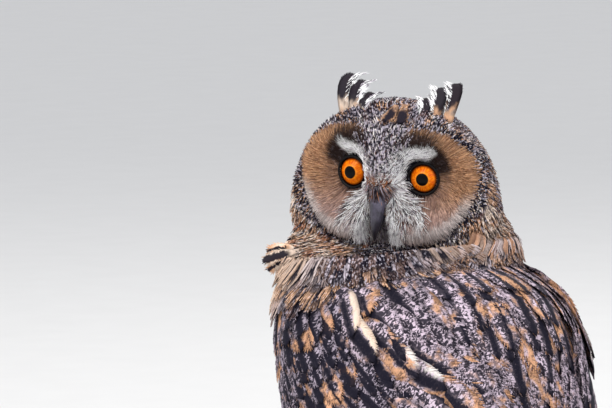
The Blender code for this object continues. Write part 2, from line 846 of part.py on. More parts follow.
def claws(side, name):
    """A hooked claw at the end of each toe, one node each."""
    for number, (_, degrees, length) in enumerate(TOES, 1):
        _, end = toe_line(side, degrees, length)
        turn = math.radians(degrees)
        way = Vector((side * math.sin(turn), -math.cos(turn), 0))
        rows = []
        for k in range(6):
            s = k / 5
            bend = math.radians(12 + 62 * s)
            heading = way * math.cos(bend) - Vector((0, 0, math.sin(bend)))
            if k == 0:
                here = end + way * CLAW_GAP + Vector((0, 0, 0.9))
            else:
                here = here + heading * (CLAW_LENGTH / 5 * 0.86)
            if k == 1:
                here = here + Vector((0, 0, 0.9))
            rows.append((here, 2.5 * (1 - s) ** 0.8 + 0.22))
        low = min(p.z - r for p, r in rows)
        lift = max(0.0, 0.4 - low)
        rings = []
        for k, (here, radius) in enumerate(rows):
            run = (rows[min(k + 1, 5)][0] - rows[max(k - 1, 0)][0]).normalized()
            if k == 0:
                run = way
            across = run.cross(Vector((0, 0, 1))).normalized()
            up = across.cross(run)
            raised = here + Vector((0, 0, lift * k / 5))
            ring = []
            for c in range(6):
                lean = 2 * math.pi * c / 6
                sideways = across * (radius * 0.8 * math.cos(lean))
                ring.append(raised + sideways + up * (radius * math.sin(lean)))
            rings.append(ring)
        rings_to_solid(f"{name}_{number}", rings, "horn")


def deeper(path, beyond=0.0):
    """The path of a bill's seat, which starts behind the bill and may run on past its tip."""
    forward, z, width = path[0]
    tip_forward, tip_z, tip_width = path[-1]
    tip = (tip_forward + 0.4 * beyond, tip_z - beyond, tip_width)
    return ((forward - GAP, z, width),) + path[1:-1] + (tip,)


def build_head():
    head = head_solid("head", "face")
    fuse(head, [lid_ring(side) for side in (-1, 1)])
    for side, name in ((1, "eye_left"), (-1, "eye_right")):
        carve(head, ball_solid("socket", eye_centre(side), EYE_RADIUS + 0.6, "dark", 9, 14))
        ball_solid(name, eye_centre(side), EYE_RADIUS, "eye", 10, 14)
    carve(head, horn("seat", deeper(BILL_PATH), "horn", HEAD, 10, GAP))
    carve(head, horn("seat", deeper(MANDIBLE_PATH, 3 * GAP), "horn", HEAD, 8, 2 * GAP, 0.8))
    upper = horn("bill_upper", BILL_PATH, "horn", HEAD, 10)
    for side in (-1, 1):
        nostril = ball_solid("nostril", head_point(side * 5.0, 25.6, -3.2), 1.1, "dark", 6, 8)
        carve(upper, nostril)
    lower = horn("bill_lower", MANDIBLE_PATH, "horn", HEAD, 8, 0.0, 0.8)
    carve(lower, horn("bite", BILL_PATH, "horn", HEAD, 10, 1.4 * GAP))
    for side, name in ((1, "ear_tuft_left"), (-1, "ear_tuft_right")):
        tuft = ear_tuft(side, name)
        carve(tuft, head_solid("grown_head", "face", 2 * GAP, 700))
    return head


def throat_wedge():
    """What lies in front of the face, above the slope that runs from the chin to the shoulder."""
    slope = math.atan2(CHIN[1] - SHOULDER[1], SHOULDER[0] - CHIN[0])
    wedge = block("wedge", (-120, -120, 0), (120, 120, 120))
    lean = Matrix.Rotation(slope, 4, "X")
    place = HEAD @ Matrix.Translation((0, -CHIN[0], CHIN[1])) @ lean
    wedge.data.transform(Matrix.Scale(1 / MM, 4))
    wedge.data.transform(place)
    wedge.data.transform(Matrix.Scale(MM, 4))
    return wedge


def build_neck():
    neck = body_solid("neck", NECK_START, NECK_TO_TORSO - 0.012, "buff", 0.0, 7)
    carve(neck, throat_wedge())
    carve(neck, head_solid("grown_head", "face", 4 * GAP, 450))
    return neck


def centre_on_floor():
    """Moves the bird so that the origin is under the middle of its box, on the floor."""
    corners = [obj.matrix_world @ v.co for obj in bpy.data.objects for v in obj.data.vertices]
    low = Vector(min(c[i] for c in corners) for i in range(3))
    high = Vector(max(c[i] for c in corners) for i in range(3))
    shift = Vector(((low.x + high.x) / -2, (low.y + high.y) / -2, -low.z))
    for obj in bpy.data.objects:
        obj.data.transform(Matrix.Translation(shift))
    print("shift", tuple(round(c, 5) for c in shift), "size", tuple(round(c, 4) for c in high - low))


def main():
    clear_scene()
    build_head()
    build_neck()
    torso = body_solid("torso", NECK_TO_TORSO, TORSO_END, "buff", 0.0, TORSO_RINGS, (0, 7))
    carve(torso, head_solid("grown_head", "face", 4 * GAP, 450))
    for side, word in ((1, "left"), (-1, "right")):
        wing(side, "wing_" + word)
        scapulars(side, "scapulars_" + word)
        leg(side, "leg_" + word)
        foot(side, "foot_" + word)
        claws(side, "claw_" + word)
    tail("tail")
    centre_on_floor()
    total = 0
    for obj in sorted(bpy.data.objects, key=lambda o: o.name):
        obj.data.calc_loop_triangles()
        count = len(obj.data.loop_triangles)
        total += count
        print(obj.name, count)
    print("triangles", total)


main()
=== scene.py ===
# %% [markdown]
# # A long-eared owl, feather by feather
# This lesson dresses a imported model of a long-eared owl. The owl stands and looks back over its
# left shoulder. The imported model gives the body's form, the bill, the claws and the eyes.
# We load it first, and keep its box, because the finished bird must still fit it.

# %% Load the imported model
import json
import math

import bpy
import numpy as np
from mathutils import Matrix, Vector
from mathutils.bvhtree import BVHTree
from mathutils.kdtree import KDTree

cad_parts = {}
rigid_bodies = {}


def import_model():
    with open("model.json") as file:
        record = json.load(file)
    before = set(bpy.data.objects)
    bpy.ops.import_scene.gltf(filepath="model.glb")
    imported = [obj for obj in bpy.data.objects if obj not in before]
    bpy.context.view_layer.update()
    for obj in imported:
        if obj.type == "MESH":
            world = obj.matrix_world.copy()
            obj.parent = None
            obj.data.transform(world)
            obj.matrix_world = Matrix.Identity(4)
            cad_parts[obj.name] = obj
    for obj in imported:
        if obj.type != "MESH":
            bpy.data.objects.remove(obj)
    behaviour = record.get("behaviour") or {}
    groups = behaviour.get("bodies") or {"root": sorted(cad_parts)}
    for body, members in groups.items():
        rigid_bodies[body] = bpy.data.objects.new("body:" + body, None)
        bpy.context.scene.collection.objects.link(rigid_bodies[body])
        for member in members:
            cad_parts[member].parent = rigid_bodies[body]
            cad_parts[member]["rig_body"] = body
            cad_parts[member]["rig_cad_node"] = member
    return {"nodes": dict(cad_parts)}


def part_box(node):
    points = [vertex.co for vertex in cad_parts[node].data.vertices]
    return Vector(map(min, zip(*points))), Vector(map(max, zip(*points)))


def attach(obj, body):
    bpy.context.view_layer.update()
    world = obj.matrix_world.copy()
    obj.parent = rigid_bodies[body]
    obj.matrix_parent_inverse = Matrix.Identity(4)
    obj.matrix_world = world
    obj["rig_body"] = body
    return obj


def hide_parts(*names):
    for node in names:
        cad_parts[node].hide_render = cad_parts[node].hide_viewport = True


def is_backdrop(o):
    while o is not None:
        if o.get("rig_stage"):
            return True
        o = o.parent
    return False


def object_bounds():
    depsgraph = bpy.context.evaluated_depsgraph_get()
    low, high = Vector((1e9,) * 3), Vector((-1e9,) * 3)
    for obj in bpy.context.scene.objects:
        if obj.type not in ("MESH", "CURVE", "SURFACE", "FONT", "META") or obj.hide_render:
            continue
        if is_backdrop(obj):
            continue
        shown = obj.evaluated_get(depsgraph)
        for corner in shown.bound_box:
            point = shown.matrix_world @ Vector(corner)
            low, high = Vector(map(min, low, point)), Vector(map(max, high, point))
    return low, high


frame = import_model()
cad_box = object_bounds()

print("CAD box in metres", cad_box)

# %% [markdown]
# ## Numbers and small tools
# All sizes here are millimetres, and MM turns them into metres when a mesh is made. Most of the
# bird is made of thousands of like things, so points are kept in arrays, and a few small
# functions work on whole arrays at once. Every random draw comes from one seeded source, so
# that the bird is the same bird each time.

# %% Small tools for arrays
MM = 0.001
SEED = 11
SIDES = ((1, "left"), (-1, "right"))
draw = np.random.default_rng(SEED)


def unit(vectors):
    return vectors / np.maximum(np.linalg.norm(vectors, axis=-1, keepdims=True), 1e-9)


def blend(low, high, share):
    return low + (high - low) * share


def rise(low, high, value):
    """0 below low, 1 above high and a smooth rise between them."""
    share = np.clip((value - low) / (high - low), 0, 1)
    return share * share * (3 - 2 * share)


def dot(a, b):
    return (a * b).sum(-1)


def tone(red, green, blue):
    """A colour read from 0 to 255, as the linear light that a material wants."""
    level = np.array((red, green, blue)) / 255
    return np.where(level > 0.04045, ((level + 0.055) / 1.055) ** 2.4, level / 12.92)


# %% [markdown]
# ## The body as a tube
# The neck, the body and the folded wings lie on one smooth tube. A place on it is a station
# along the tube, an angle round it (0 on the back, 90 on the left side, 180 on the breast) and
# a height above it. Feathers are then easy to lay: they run along the stations.

# %% The tube that the body lies on
STATIONS = np.array((
    (-30, 242, 42, 40, 38),
    (-32, 217, 55, 50, 52),
    (-27, 190, 57, 48, 54),
    (-14, 160, 61, 65, 61),
    (0, 128, 61, 65, 67),
    (20, 96, 55, 57, 58),
    (50, 68, 42, 40, 40),
    (88, 49, 28, 20, 18),
    (134, 31, 24, 12, 8),
    (184, 16, 17, 8, 4),
    (210, 10, 12, 6, 3),
), float)
BACK_SQUARENESS = 2.4
WING_LOWER_EDGE = np.array((150, 128, 124, 124, 122, 117, 106, 92, 66, 34, 20), float)[:, None]
WING_UPPER_EDGE = np.array((86, 76, 64, 48, 30, 14, 7, 5, 5, 4, 4), float)[:, None]


def along(rows, station):
    """A smooth curve through rows of numbers, read at many stations."""
    last = len(rows) - 1
    station = np.clip(np.asarray(station, float), 0, last - 1e-6)
    row = station.astype(int)
    t = (station - row)[..., None]
    before, here, there, after = (rows[np.clip(row + k, 0, last)] for k in (-1, 0, 1, 2))
    bend = before - 2.5 * here + 2 * there - 0.5 * after
    twist = 1.5 * (here - there) + 0.5 * (after - before)
    return here + 0.5 * t * (there - before) + t**2 * bend + t**3 * twist


def body_at(station, angle, height=0.0):
    """Points on the tube, in the bird's own frame."""
    station, angle, height = np.broadcast_arrays(station, angle, height)
    rows = along(STATIONS, station)
    run = unit(along(STATIONS, station + 0.05)[..., :2] - along(STATIONS, station - 0.05)[..., :2])
    across, deep = np.sin(np.radians(angle)), np.cos(np.radians(angle))
    depth = np.where(deep > 0, rows[..., 3], rows[..., 4])
    power = np.where(deep > 0, BACK_SQUARENESS, 2.0)
    push = (np.abs(across) ** power + np.abs(deep) ** power) ** (-1 / power)
    x = (rows[..., 2] * push + height) * across
    n = (depth * push + height) * deep
    return np.stack((x, rows[..., 0] - run[..., 1] * n, rows[..., 1] + run[..., 0] * n), -1)


def body_out(station, angle):
    """The way straight out of the tube."""
    down = body_at(station + 0.03, angle) - body_at(station - 0.03, angle)
    left = body_at(station, angle + 0.6) - body_at(station, angle - 0.6)
    return unit(np.cross(left, down))


def wing_edges(station):
    """The angles of the folded wing's lower and upper edges."""
    return along(WING_LOWER_EDGE, station)[..., 0], along(WING_UPPER_EDGE, station)[..., 0]


def wing_angle(station, share):
    """The angle at a share of the way from the wing's lower edge to its upper edge."""
    return blend(*wing_edges(station), share)


print("the tube is", round(float(along(STATIONS, 4)[2]) * 2), "mm wide at its widest")

# %% [markdown]
# ## The head and its face
# The head is turned far round to the left. Its own frame has x to the bird's left, forward and
# up. Each facial disc is a shallow bowl round its eye, with a raised rim, and the lids stand
# round the eyeball. The face's surface is a formula, so hairs can be laid on it exactly.

# %% The head's frame and the face's surface
HEAD_PLACE = np.array((0, -33, 244), float)
HEAD_TURN, HEAD_NOD, HEAD_ROLL = 115, 4, 3
HEAD_MIDDLE_DROP, HEAD_HALF_WIDTH, HEAD_UP, HEAD_DOWN = 12, 51, 49.5, 42
HEAD_BACK, HEAD_FRONT, CHEEK_SQUARENESS, CHEEK_FLARE = 43, 13, 3.5, 4.0
FACE_FORWARD, FACE_HALF_WIDTH = 21.5, 43.5
DISC_INNER, DISC_OUTER, DISC_UP, DISC_DOWN = 16, 25, 19, 26
BOWL_DEPTH, RUFF_RISE, RUFF_WIDTH = 11, 1.8, 0.12
EYE_X, EYE_Z, EYE_RADIUS, EYE_FORWARD, EYE_SPLAY = 17, 2.2, 10.5, -0.3, 8
LID_RADIUS, LID_BED, EYE_CLEARANCE, BILL_HOLLOW = 7.4, 1.3, 0.2, 5.0
FACE_FALL, FACE_REACH, FACE_DROP_ABOVE, FACE_DROP_BELOW = 16.5, 30, 13, 4

head_turn = np.array(
    Matrix.Rotation(math.radians(HEAD_TURN), 3, "Z")
    @ Matrix.Rotation(math.radians(HEAD_NOD), 3, "X")
    @ Matrix.Rotation(math.radians(HEAD_ROLL), 3, "Y")
)


def head_at(x, forward, z):
    """Points given in the head's frame, in the bird's own frame."""
    x, forward, z = np.broadcast_arrays(x, forward, z)
    return np.stack((x, -forward, z), -1).astype(float) @ head_turn.T + HEAD_PLACE


def in_head(points):
    """x, forward and z of points, in the head's frame."""
    local = (points - HEAD_PLACE) @ head_turn
    return local[..., 0], -local[..., 1], local[..., 2]


def disc_share(x, z):
    """0 at an eye and 1 at the rim of its facial disc."""
    across, up = np.abs(x) - EYE_X, z - EYE_Z
    width = np.where(across > 0, DISC_OUTER, DISC_INNER)
    height = np.where(up > 0, DISC_UP, DISC_DOWN)
    return np.hypot(across / width, up / height)


def face_forward(x, z):
    """How far forward the face's surface stands at x, z."""
    drop = np.where(z > 0, FACE_DROP_ABOVE, FACE_DROP_BELOW)
    dome = FACE_FORWARD - FACE_FALL * (x / FACE_HALF_WIDTH) ** 2 - drop * (z / FACE_REACH) ** 2
    share = disc_share(x, z)
    from_eye = np.hypot(np.abs(x) - EYE_X, z - EYE_Z)
    bowl = BOWL_DEPTH * (1 - rise(0.25, 1.0, share))
    ruff = RUFF_RISE * np.exp(-(((share - 1.0) / RUFF_WIDTH) ** 2)) * rise(4, 14, np.abs(x))
    hollow = BILL_HOLLOW * rise(-1, -8, z) * (1 - rise(3.5, 9, np.abs(x)))
    face = dome - bowl + ruff - hollow
    lid = EYE_FORWARD + np.sqrt(np.maximum(0, (EYE_RADIUS + LID_BED) ** 2 - from_eye**2))
    inside = EYE_FORWARD + np.sqrt(np.maximum(0, (EYE_RADIUS + EYE_CLEARANCE) ** 2 - from_eye**2))
    return np.where(from_eye > LID_RADIUS, np.maximum(face, lid), np.minimum(face, inside))


def head_form(points):
    """Turns a unit ball's points (x, back, z) into the head's surface."""
    x, forward, z = points[:, 0], -points[:, 1], points[:, 2]
    pz = z * np.where(z > 0, HEAD_UP, HEAD_DOWN) - HEAD_MIDDLE_DROP
    round_here = np.hypot(x, forward)
    squared = np.abs(x) ** CHEEK_SQUARENESS + np.maximum(forward, 0) ** CHEEK_SQUARENESS
    push = np.where(forward > 0, round_here / np.maximum(squared, 1e-9) ** (1 / CHEEK_SQUARENESS), 1)
    px = x * push * (HEAD_HALF_WIDTH + CHEEK_FLARE * rise(0, 34, -pz) * np.abs(x))
    pf = forward * push * np.where(forward > 0, HEAD_FRONT, HEAD_BACK)
    inside = 1 - rise(1.02, 1.3, disc_share(px, pz))
    bridge = (1 - rise(12, 26, np.abs(px))) * (1 - rise(20, 34, np.abs(pz - 2)))
    weight = np.maximum(inside, bridge) * rise(0.0, 0.3, forward)
    return head_at(px, pf + weight * (face_forward(px, pz) - pf), pz)


eye_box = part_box("eye_left")
eye_middle = np.array(eye_box[0] + eye_box[1]) / 2 / MM
SHIFT = eye_middle - head_at(EYE_X, EYE_FORWARD, EYE_Z)
print("the bird's own frame lies at", SHIFT.round(2), "mm in the packed one")

# %% [markdown]
# ## The camera
# The photograph was taken from a little above the owl's back, over its left wing. The camera
# stands 3 m away, far enough for a long lens. It is aimed so that the head falls at its place
# in the picture, at the picture's own scale in millimetres for each pixel.

# %% Place the camera
PICTURE_WIDTH, PICTURE_HEIGHT = 612, 408
MM_PER_PIXEL = 0.47
HEAD_PIXEL = (395, 177)
VIEW_AZIMUTH, VIEW_ELEVATION, VIEW_DISTANCE = math.radians(140), math.radians(6), 3000
SENSOR = 36


def place_camera():
    flat = math.cos(VIEW_ELEVATION)
    away = Vector((
        math.sin(VIEW_AZIMUTH) * flat,
        -math.cos(VIEW_AZIMUTH) * flat,
        math.sin(VIEW_ELEVATION),
    ))
    right = Vector((math.cos(VIEW_AZIMUTH), math.sin(VIEW_AZIMUTH), 0))
    up = away.cross(right)
    aim = Vector(HEAD_PLACE + SHIFT)
    aim += right * ((PICTURE_WIDTH / 2 - HEAD_PIXEL[0]) * MM_PER_PIXEL)
    aim -= up * ((PICTURE_HEIGHT / 2 - HEAD_PIXEL[1]) * MM_PER_PIXEL)
    bpy.ops.object.camera_add(location=(aim + away * VIEW_DISTANCE) * MM)
    camera = bpy.context.active_object
    camera.rotation_euler = away.to_track_quat("Z", "Y").to_euler()
    camera.data.sensor_width = SENSOR
    camera.data.lens = SENSOR * VIEW_DISTANCE / (PICTURE_WIDTH * MM_PER_PIXEL)
    bpy.context.scene.camera = camera
    return camera


camera = place_camera()
print("lens", round(camera.data.lens, 1), "mm")

# %% [markdown]
# ## Materials
# A feather's colour comes from three places: a tint that each feather carries in its mesh, a
# fine pattern that follows the feather's own length and width, and speckles as fine as grains
# of sand. Shader maths is easier to read as Python, so a small class lets us write a + b on
# values, and one method adds any other node.

# %% A class for writing shader maths


class Value:
    """One output in a material, which can be added, multiplied and so on."""

    def __init__(self, finish, socket):
        self.finish, self.socket = finish, socket

    def math(self, operation, *inputs):
        return self.finish.add("ShaderNodeMath", {"operation": operation}, dict(enumerate(inputs)))

    def __add__(self, other):
        return self.math("ADD", self, other)

    def __sub__(self, other):
        return self.math("SUBTRACT", self, other)

    def __rsub__(self, other):
        return self.math("SUBTRACT", other, self)

    def __mul__(self, other):
        return self.math("MULTIPLY", self, other)

    def __truediv__(self, other):
        return self.math("DIVIDE", self, other)

    __radd__ = __add__
    __rmul__ = __mul__

    def size(self):
        return self.math("ABSOLUTE", self)

    def wave(self):
        return self.math("SINE", self)

    def rise(self, low, high):
        """0 below low, 1 above high and a smooth rise between them."""
        settings = {"interpolation_type": "SMOOTHSTEP"}
        values = {"Value": self, "From Min": low, "From Max": high}
        return self.finish.add("ShaderNodeMapRange", settings, values)


class Finish:
    """A material round one Principled surface."""

    def __init__(self, name, **fixed):
        self.material = bpy.data.materials.new(name)
        self.material.use_nodes = True
        self.tree = self.material.node_tree
        self.surface = self.tree.nodes["Principled BSDF"]
        for socket, value in fixed.items():
            self.surface.inputs[socket.replace("_", " ")].default_value = value

    def add(self, kind, settings=None, values=None, output=0):
        node = self.tree.nodes.new(kind)
        for name, value in (settings or {}).items():
            setattr(node, name, value)
        for key, value in (values or {}).items():
            if isinstance(value, Value):
                self.tree.links.new(value.socket, node.inputs[key])
            else:
                node.inputs[key].default_value = value
        return Value(self, node.outputs[output])

    def feed(self, socket, value):
        self.tree.links.new(value.socket, self.surface.inputs[socket])

    def mix(self, first, second, share):
        """A colour between two colours."""
        values = {0: share, 6: self.colour(first), 7: self.colour(second)}
        return self.add("ShaderNodeMix", {"data_type": "RGBA"}, values, 2)

    def colour(self, value):
        return value if isinstance(value, Value) else (*value, 1.0)

    def tint(self, name):
        return self.add("ShaderNodeAttribute", {"attribute_name": name})

    def fourth(self, name):
        return self.add("ShaderNodeAttribute", {"attribute_name": name}, {}, 3)

    def part(self, vector, index):
        return self.add("ShaderNodeSeparateXYZ", {}, {0: vector}, index)

    def vector(self, x, y, z):
        return self.add("ShaderNodeCombineXYZ", {}, {0: x, 1: y, 2: z})

    def noise(self, vector, scale, detail=2.0, distortion=0.0):
        values = {"Vector": vector, "Scale": scale, "Detail": detail, "Distortion": distortion}
        return self.add("ShaderNodeTexNoise", {}, values)

    def place(self):
        return self.add("ShaderNodeTexCoord", {}, {}, 3)

    def bump(self, height, strength, distance):
        values = {"Strength": strength, "Distance": distance, "Height": height}
        self.feed("Normal", self.add("ShaderNodeBump", {}, values))


# %% [markdown]
# ## Two plumage finishes
# Soft feathers and hairs take their colour from the tint in the mesh. Where the real bird is
# peppered black and white, a grain of noise about a millimetre across does that. The firm
# vanes of the wings, shoulders and tail have a dark shaft streak, wavy cross lines and warm
# patches near the root, all written in the feather's own millimetres across and along.

# %% Make the plumage finishes
INK = tone(22, 20, 34)
FROST = tone(214, 208, 222)


def soft_plumage():
    """tint: the colour. traits: x the amount of pepper, y a random number for each feather."""
    finish = Finish("soft plumage", Roughness=0.8, Specular_IOR_Level=0.12)
    place = finish.place()
    traits = finish.tint("traits")
    pepper = finish.part(traits, 0)
    grain = finish.noise(place, 780, 1.5)
    dark = grain.rise(0.52, 0.44) * pepper
    light = grain.rise(0.55, 0.64) * pepper
    cloud = finish.noise(place, 95, 2.0)
    colour = finish.mix(finish.tint("tint"), INK, dark * 0.92)
    colour = finish.mix(colour, FROST, light * 0.62)
    colour = finish.mix(colour, INK, cloud.rise(0.5, 0.75) * 0.18)
    finish.feed("Base Color", colour)
    return finish.material


def vane_plumage():
    """tint: the ground. warm: the patch colour. rim: the edge colour, and which side has it.
    traits: streak half width in mm, cross lines, a random number and bars. spot: share along,
    half width in mm and patches. lie: hundreds of mm across and along."""
    finish = Finish("vane plumage", Roughness=0.75, Specular_IOR_Level=0.12)
    lie = finish.add("ShaderNodeUVMap", {"uv_map": "lie"})
    across, down = finish.part(lie, 0) * 100, finish.part(lie, 1) * 100
    traits = finish.tint("traits")
    streak, lines, seed = (finish.part(traits, k) for k in range(3))
    bars, one_side = finish.fourth("traits"), finish.fourth("rim")
    spot = finish.tint("spot")
    share, half, patch = (finish.part(spot, k) for k in range(3))
    beside = across / half
    outer = beside.size()
    worm = finish.noise(finish.vector(across * 0.5 + seed * 91, down * 0.95, seed * 37), 1.0, 2.0, 0.9)
    blot = finish.noise(finish.vector(across * 0.13 + seed * 53, down * 0.1, seed * 17), 1.0, 1.5)
    mist = finish.noise(finish.vector(across * 0.4 + seed * 11, down * 0.22, seed * 7), 1.0, 2.0)
    warm_share = (patch + (blot - 0.5) * 2.1 + (mist - 0.5) * 0.9 + (outer - 0.6) * 0.2 - 0.12).rise(0.1, 0.5)
    ground = finish.mix(finish.tint("tint"), finish.tint("warm"), warm_share)
    ground = finish.mix(ground, INK, (worm.rise(0.5, 0.62) * warm_share * lines) * 0.65)
    level = worm + (mist - 0.5) * 0.6 - outer * 0.13
    colour = finish.mix(ground, INK, level.rise(0.34, 0.44) * lines * (1 - warm_share * 0.85))
    bar = (down * 0.56 + (worm - 0.5) * 2.4 + seed * 6).wave()
    colour = finish.mix(colour, INK * 1.5, bar.rise(0.1, 0.5) * bars * 0.85)
    centre = (outer * half + ((worm - 0.5) * 6.0 + (mist - 0.5) * 5.0) * (half * 0.09 + 0.2)) / streak
    past_root = (share + (mist - 0.5) * 0.5).rise(0.08, 0.36)
    colour = finish.mix(colour, INK, centre.rise(1.3, 0.8) * past_root * 0.98)
    firmly = one_side.size()
    to_side = beside * one_side + (worm - 0.5) * 0.4 + (mist - 0.5) * 0.4
    pale_side = (to_side + share.rise(0.6, 0.9) * firmly * 0.2).rise(0.42, 0.6)
    pale_side = pale_side * (share + firmly * 3.0 - 2.6).rise(0.2, 0.4)
    colour = finish.mix(colour, finish.tint("rim"), pale_side * (1 - worm.rise(0.5, 0.8) * 0.45))
    finish.feed("Base Color", colour)
    barb = (down - across.size() * 0.9) * 9.0
    finish.bump(barb.wave(), 0.2, 0.0002)
    return finish.material


SOFT = soft_plumage()
VANE = vane_plumage()
print("plumage finishes", SOFT.name, "and", VANE.name)

# %% [markdown]
# ## The skin's form
# Under the coat the bird is one smooth form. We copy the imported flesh, put a finely modelled
# head in place of the plain one, and melt all of it together with a voxel remesh. The coat is
# combed over this form, and the skin itself is the same form drawn in by the coat's depth.

# %% Melt the flesh into one form
FLESH = ("neck", "torso", "leg_left", "leg_right", "foot_left", "foot_right")
VOXEL, FORM_SMOOTHING, MERGE_DISTANCE = 1.7, 6, 0.00001
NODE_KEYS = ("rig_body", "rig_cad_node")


def select_only(*pieces):
    bpy.ops.object.select_all(action="DESELECT")
    for piece in pieces:
        piece.select_set(True)
    bpy.context.view_layer.objects.active = pieces[0]


def apply_modifier(piece, kind, **settings):
    select_only(piece)
    modifier = piece.modifiers.new("shape", kind)
    for name, value in settings.items():
        setattr(modifier, name, value)
    bpy.ops.object.modifier_apply(modifier=modifier.name)


def face_outwards(piece):
    """Turns a closed piece's faces outwards."""
    select_only(piece)
    bpy.ops.object.mode_set(mode="EDIT")
    bpy.ops.mesh.select_all(action="SELECT")
    bpy.ops.mesh.normals_make_consistent(inside=False)
    bpy.ops.object.mode_set(mode="OBJECT")


def copy_nodes(names):
    """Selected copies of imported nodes, which no longer count as packed ones."""
    select_only(*(frame["nodes"][name] for name in names))
    bpy.ops.object.duplicate()
    copies = list(bpy.context.selected_objects)
    for copy in copies:
        for key in NODE_KEYS:
            if key in copy:
                del copy[key]
    return copies


def melt(piece, voxel, smoothing):
    """Merges a piece's loose triangles, then remeshes and smooths it."""
    piece.parent = None
    bpy.ops.object.mode_set(mode="EDIT")
    bpy.ops.mesh.select_all(action="SELECT")
    bpy.ops.mesh.remove_doubles(threshold=MERGE_DISTANCE)
    bpy.ops.object.mode_set(mode="OBJECT")
    apply_modifier(piece, "REMESH", mode="VOXEL", voxel_size=voxel * MM, use_smooth_shade=True)
    apply_modifier(piece, "SMOOTH", factor=0.5, iterations=smoothing)


def fine_head():
    bpy.ops.mesh.primitive_ico_sphere_add(subdivisions=6, radius=1)
    head = bpy.context.active_object
    points = np.array([v.co for v in head.data.vertices])
    moved = (head_form(points) + SHIFT) * MM
    head.data.vertices.foreach_set("co", moved.ravel())
    head.data.update()
    face_outwards(head)
    return head


def melt_form():
    copies = copy_nodes(FLESH)
    select_only(fine_head(), *copies)
    bpy.ops.object.join()
    form = bpy.context.active_object
    form.name = "skin"
    melt(form, VOXEL, FORM_SMOOTHING)
    return form


skin = melt_form()
points = np.empty(len(skin.data.vertices) * 3, np.float32)
skin.data.vertices.foreach_get("co", points)
form_points = points.reshape(-1, 3).astype(float) / MM - SHIFT
form_faces = [tuple(face.vertices) for face in skin.data.polygons]
form_tree = BVHTree.FromPolygons([tuple(p) for p in form_points], form_faces)
print("the form has", len(form_points), "points")

# %% [markdown]
# ## Coats: many closed slivers in one mesh
# A hair or a barb is a thin closed sliver with three sides, and a firm feather is a closed vane
# with seven. Both are rings of points along a middle line, with a point at each end. A coat
# gathers thousands of them into one mesh, with their tints and two UV maps: lie is the place
# across and along a feather, and OFBake gives each sliver its own small patch at its root.

# %% The coat class
STRAND = np.array(((1, -0.4), (0, 0.6), (-1, -0.4)))
VANE_RING = np.array(((1, 0), (0.5, 0.5), (0, 0.7), (-0.5, 0.5), (-1, 0), (-0.5, -0.5), (0.5, -0.5)))
PATCH = 0.003
WHITE = np.ones(3)


def ring_faces(steps, sides):
    """The triangles of one closed sliver with a point at each end."""
    faces = []
    root, tip = steps * sides, steps * sides + 1
    for c in range(sides):
        d = (c + 1) % sides
        for k in range(steps - 1):
            a, b = k * sides + c, k * sides + d
            faces += [(a, b, b + sides), (a, b + sides, a + sides)]
        last = (steps - 1) * sides
        faces += [(d, c, root), (last + c, last + d, tip)]
    return np.array(faces)


def put_map(mesh, name, values):
    """A UV map, with a place for each corner of each face."""
    layer = mesh.uv_layers.new(name=name)
    layer.data.foreach_set("uv", values.astype(np.float32).ravel())


def put_colours(mesh, name, values):
    """Three or four numbers for each point, kept in the mesh under a name."""
    if values.shape[1] == 3:
        values = np.concatenate((values, np.ones((len(values), 1))), 1)
    layer = mesh.color_attributes.new(name, "FLOAT_COLOR", "POINT")
    layer.data.foreach_set("color", values.astype(np.float32).ravel())


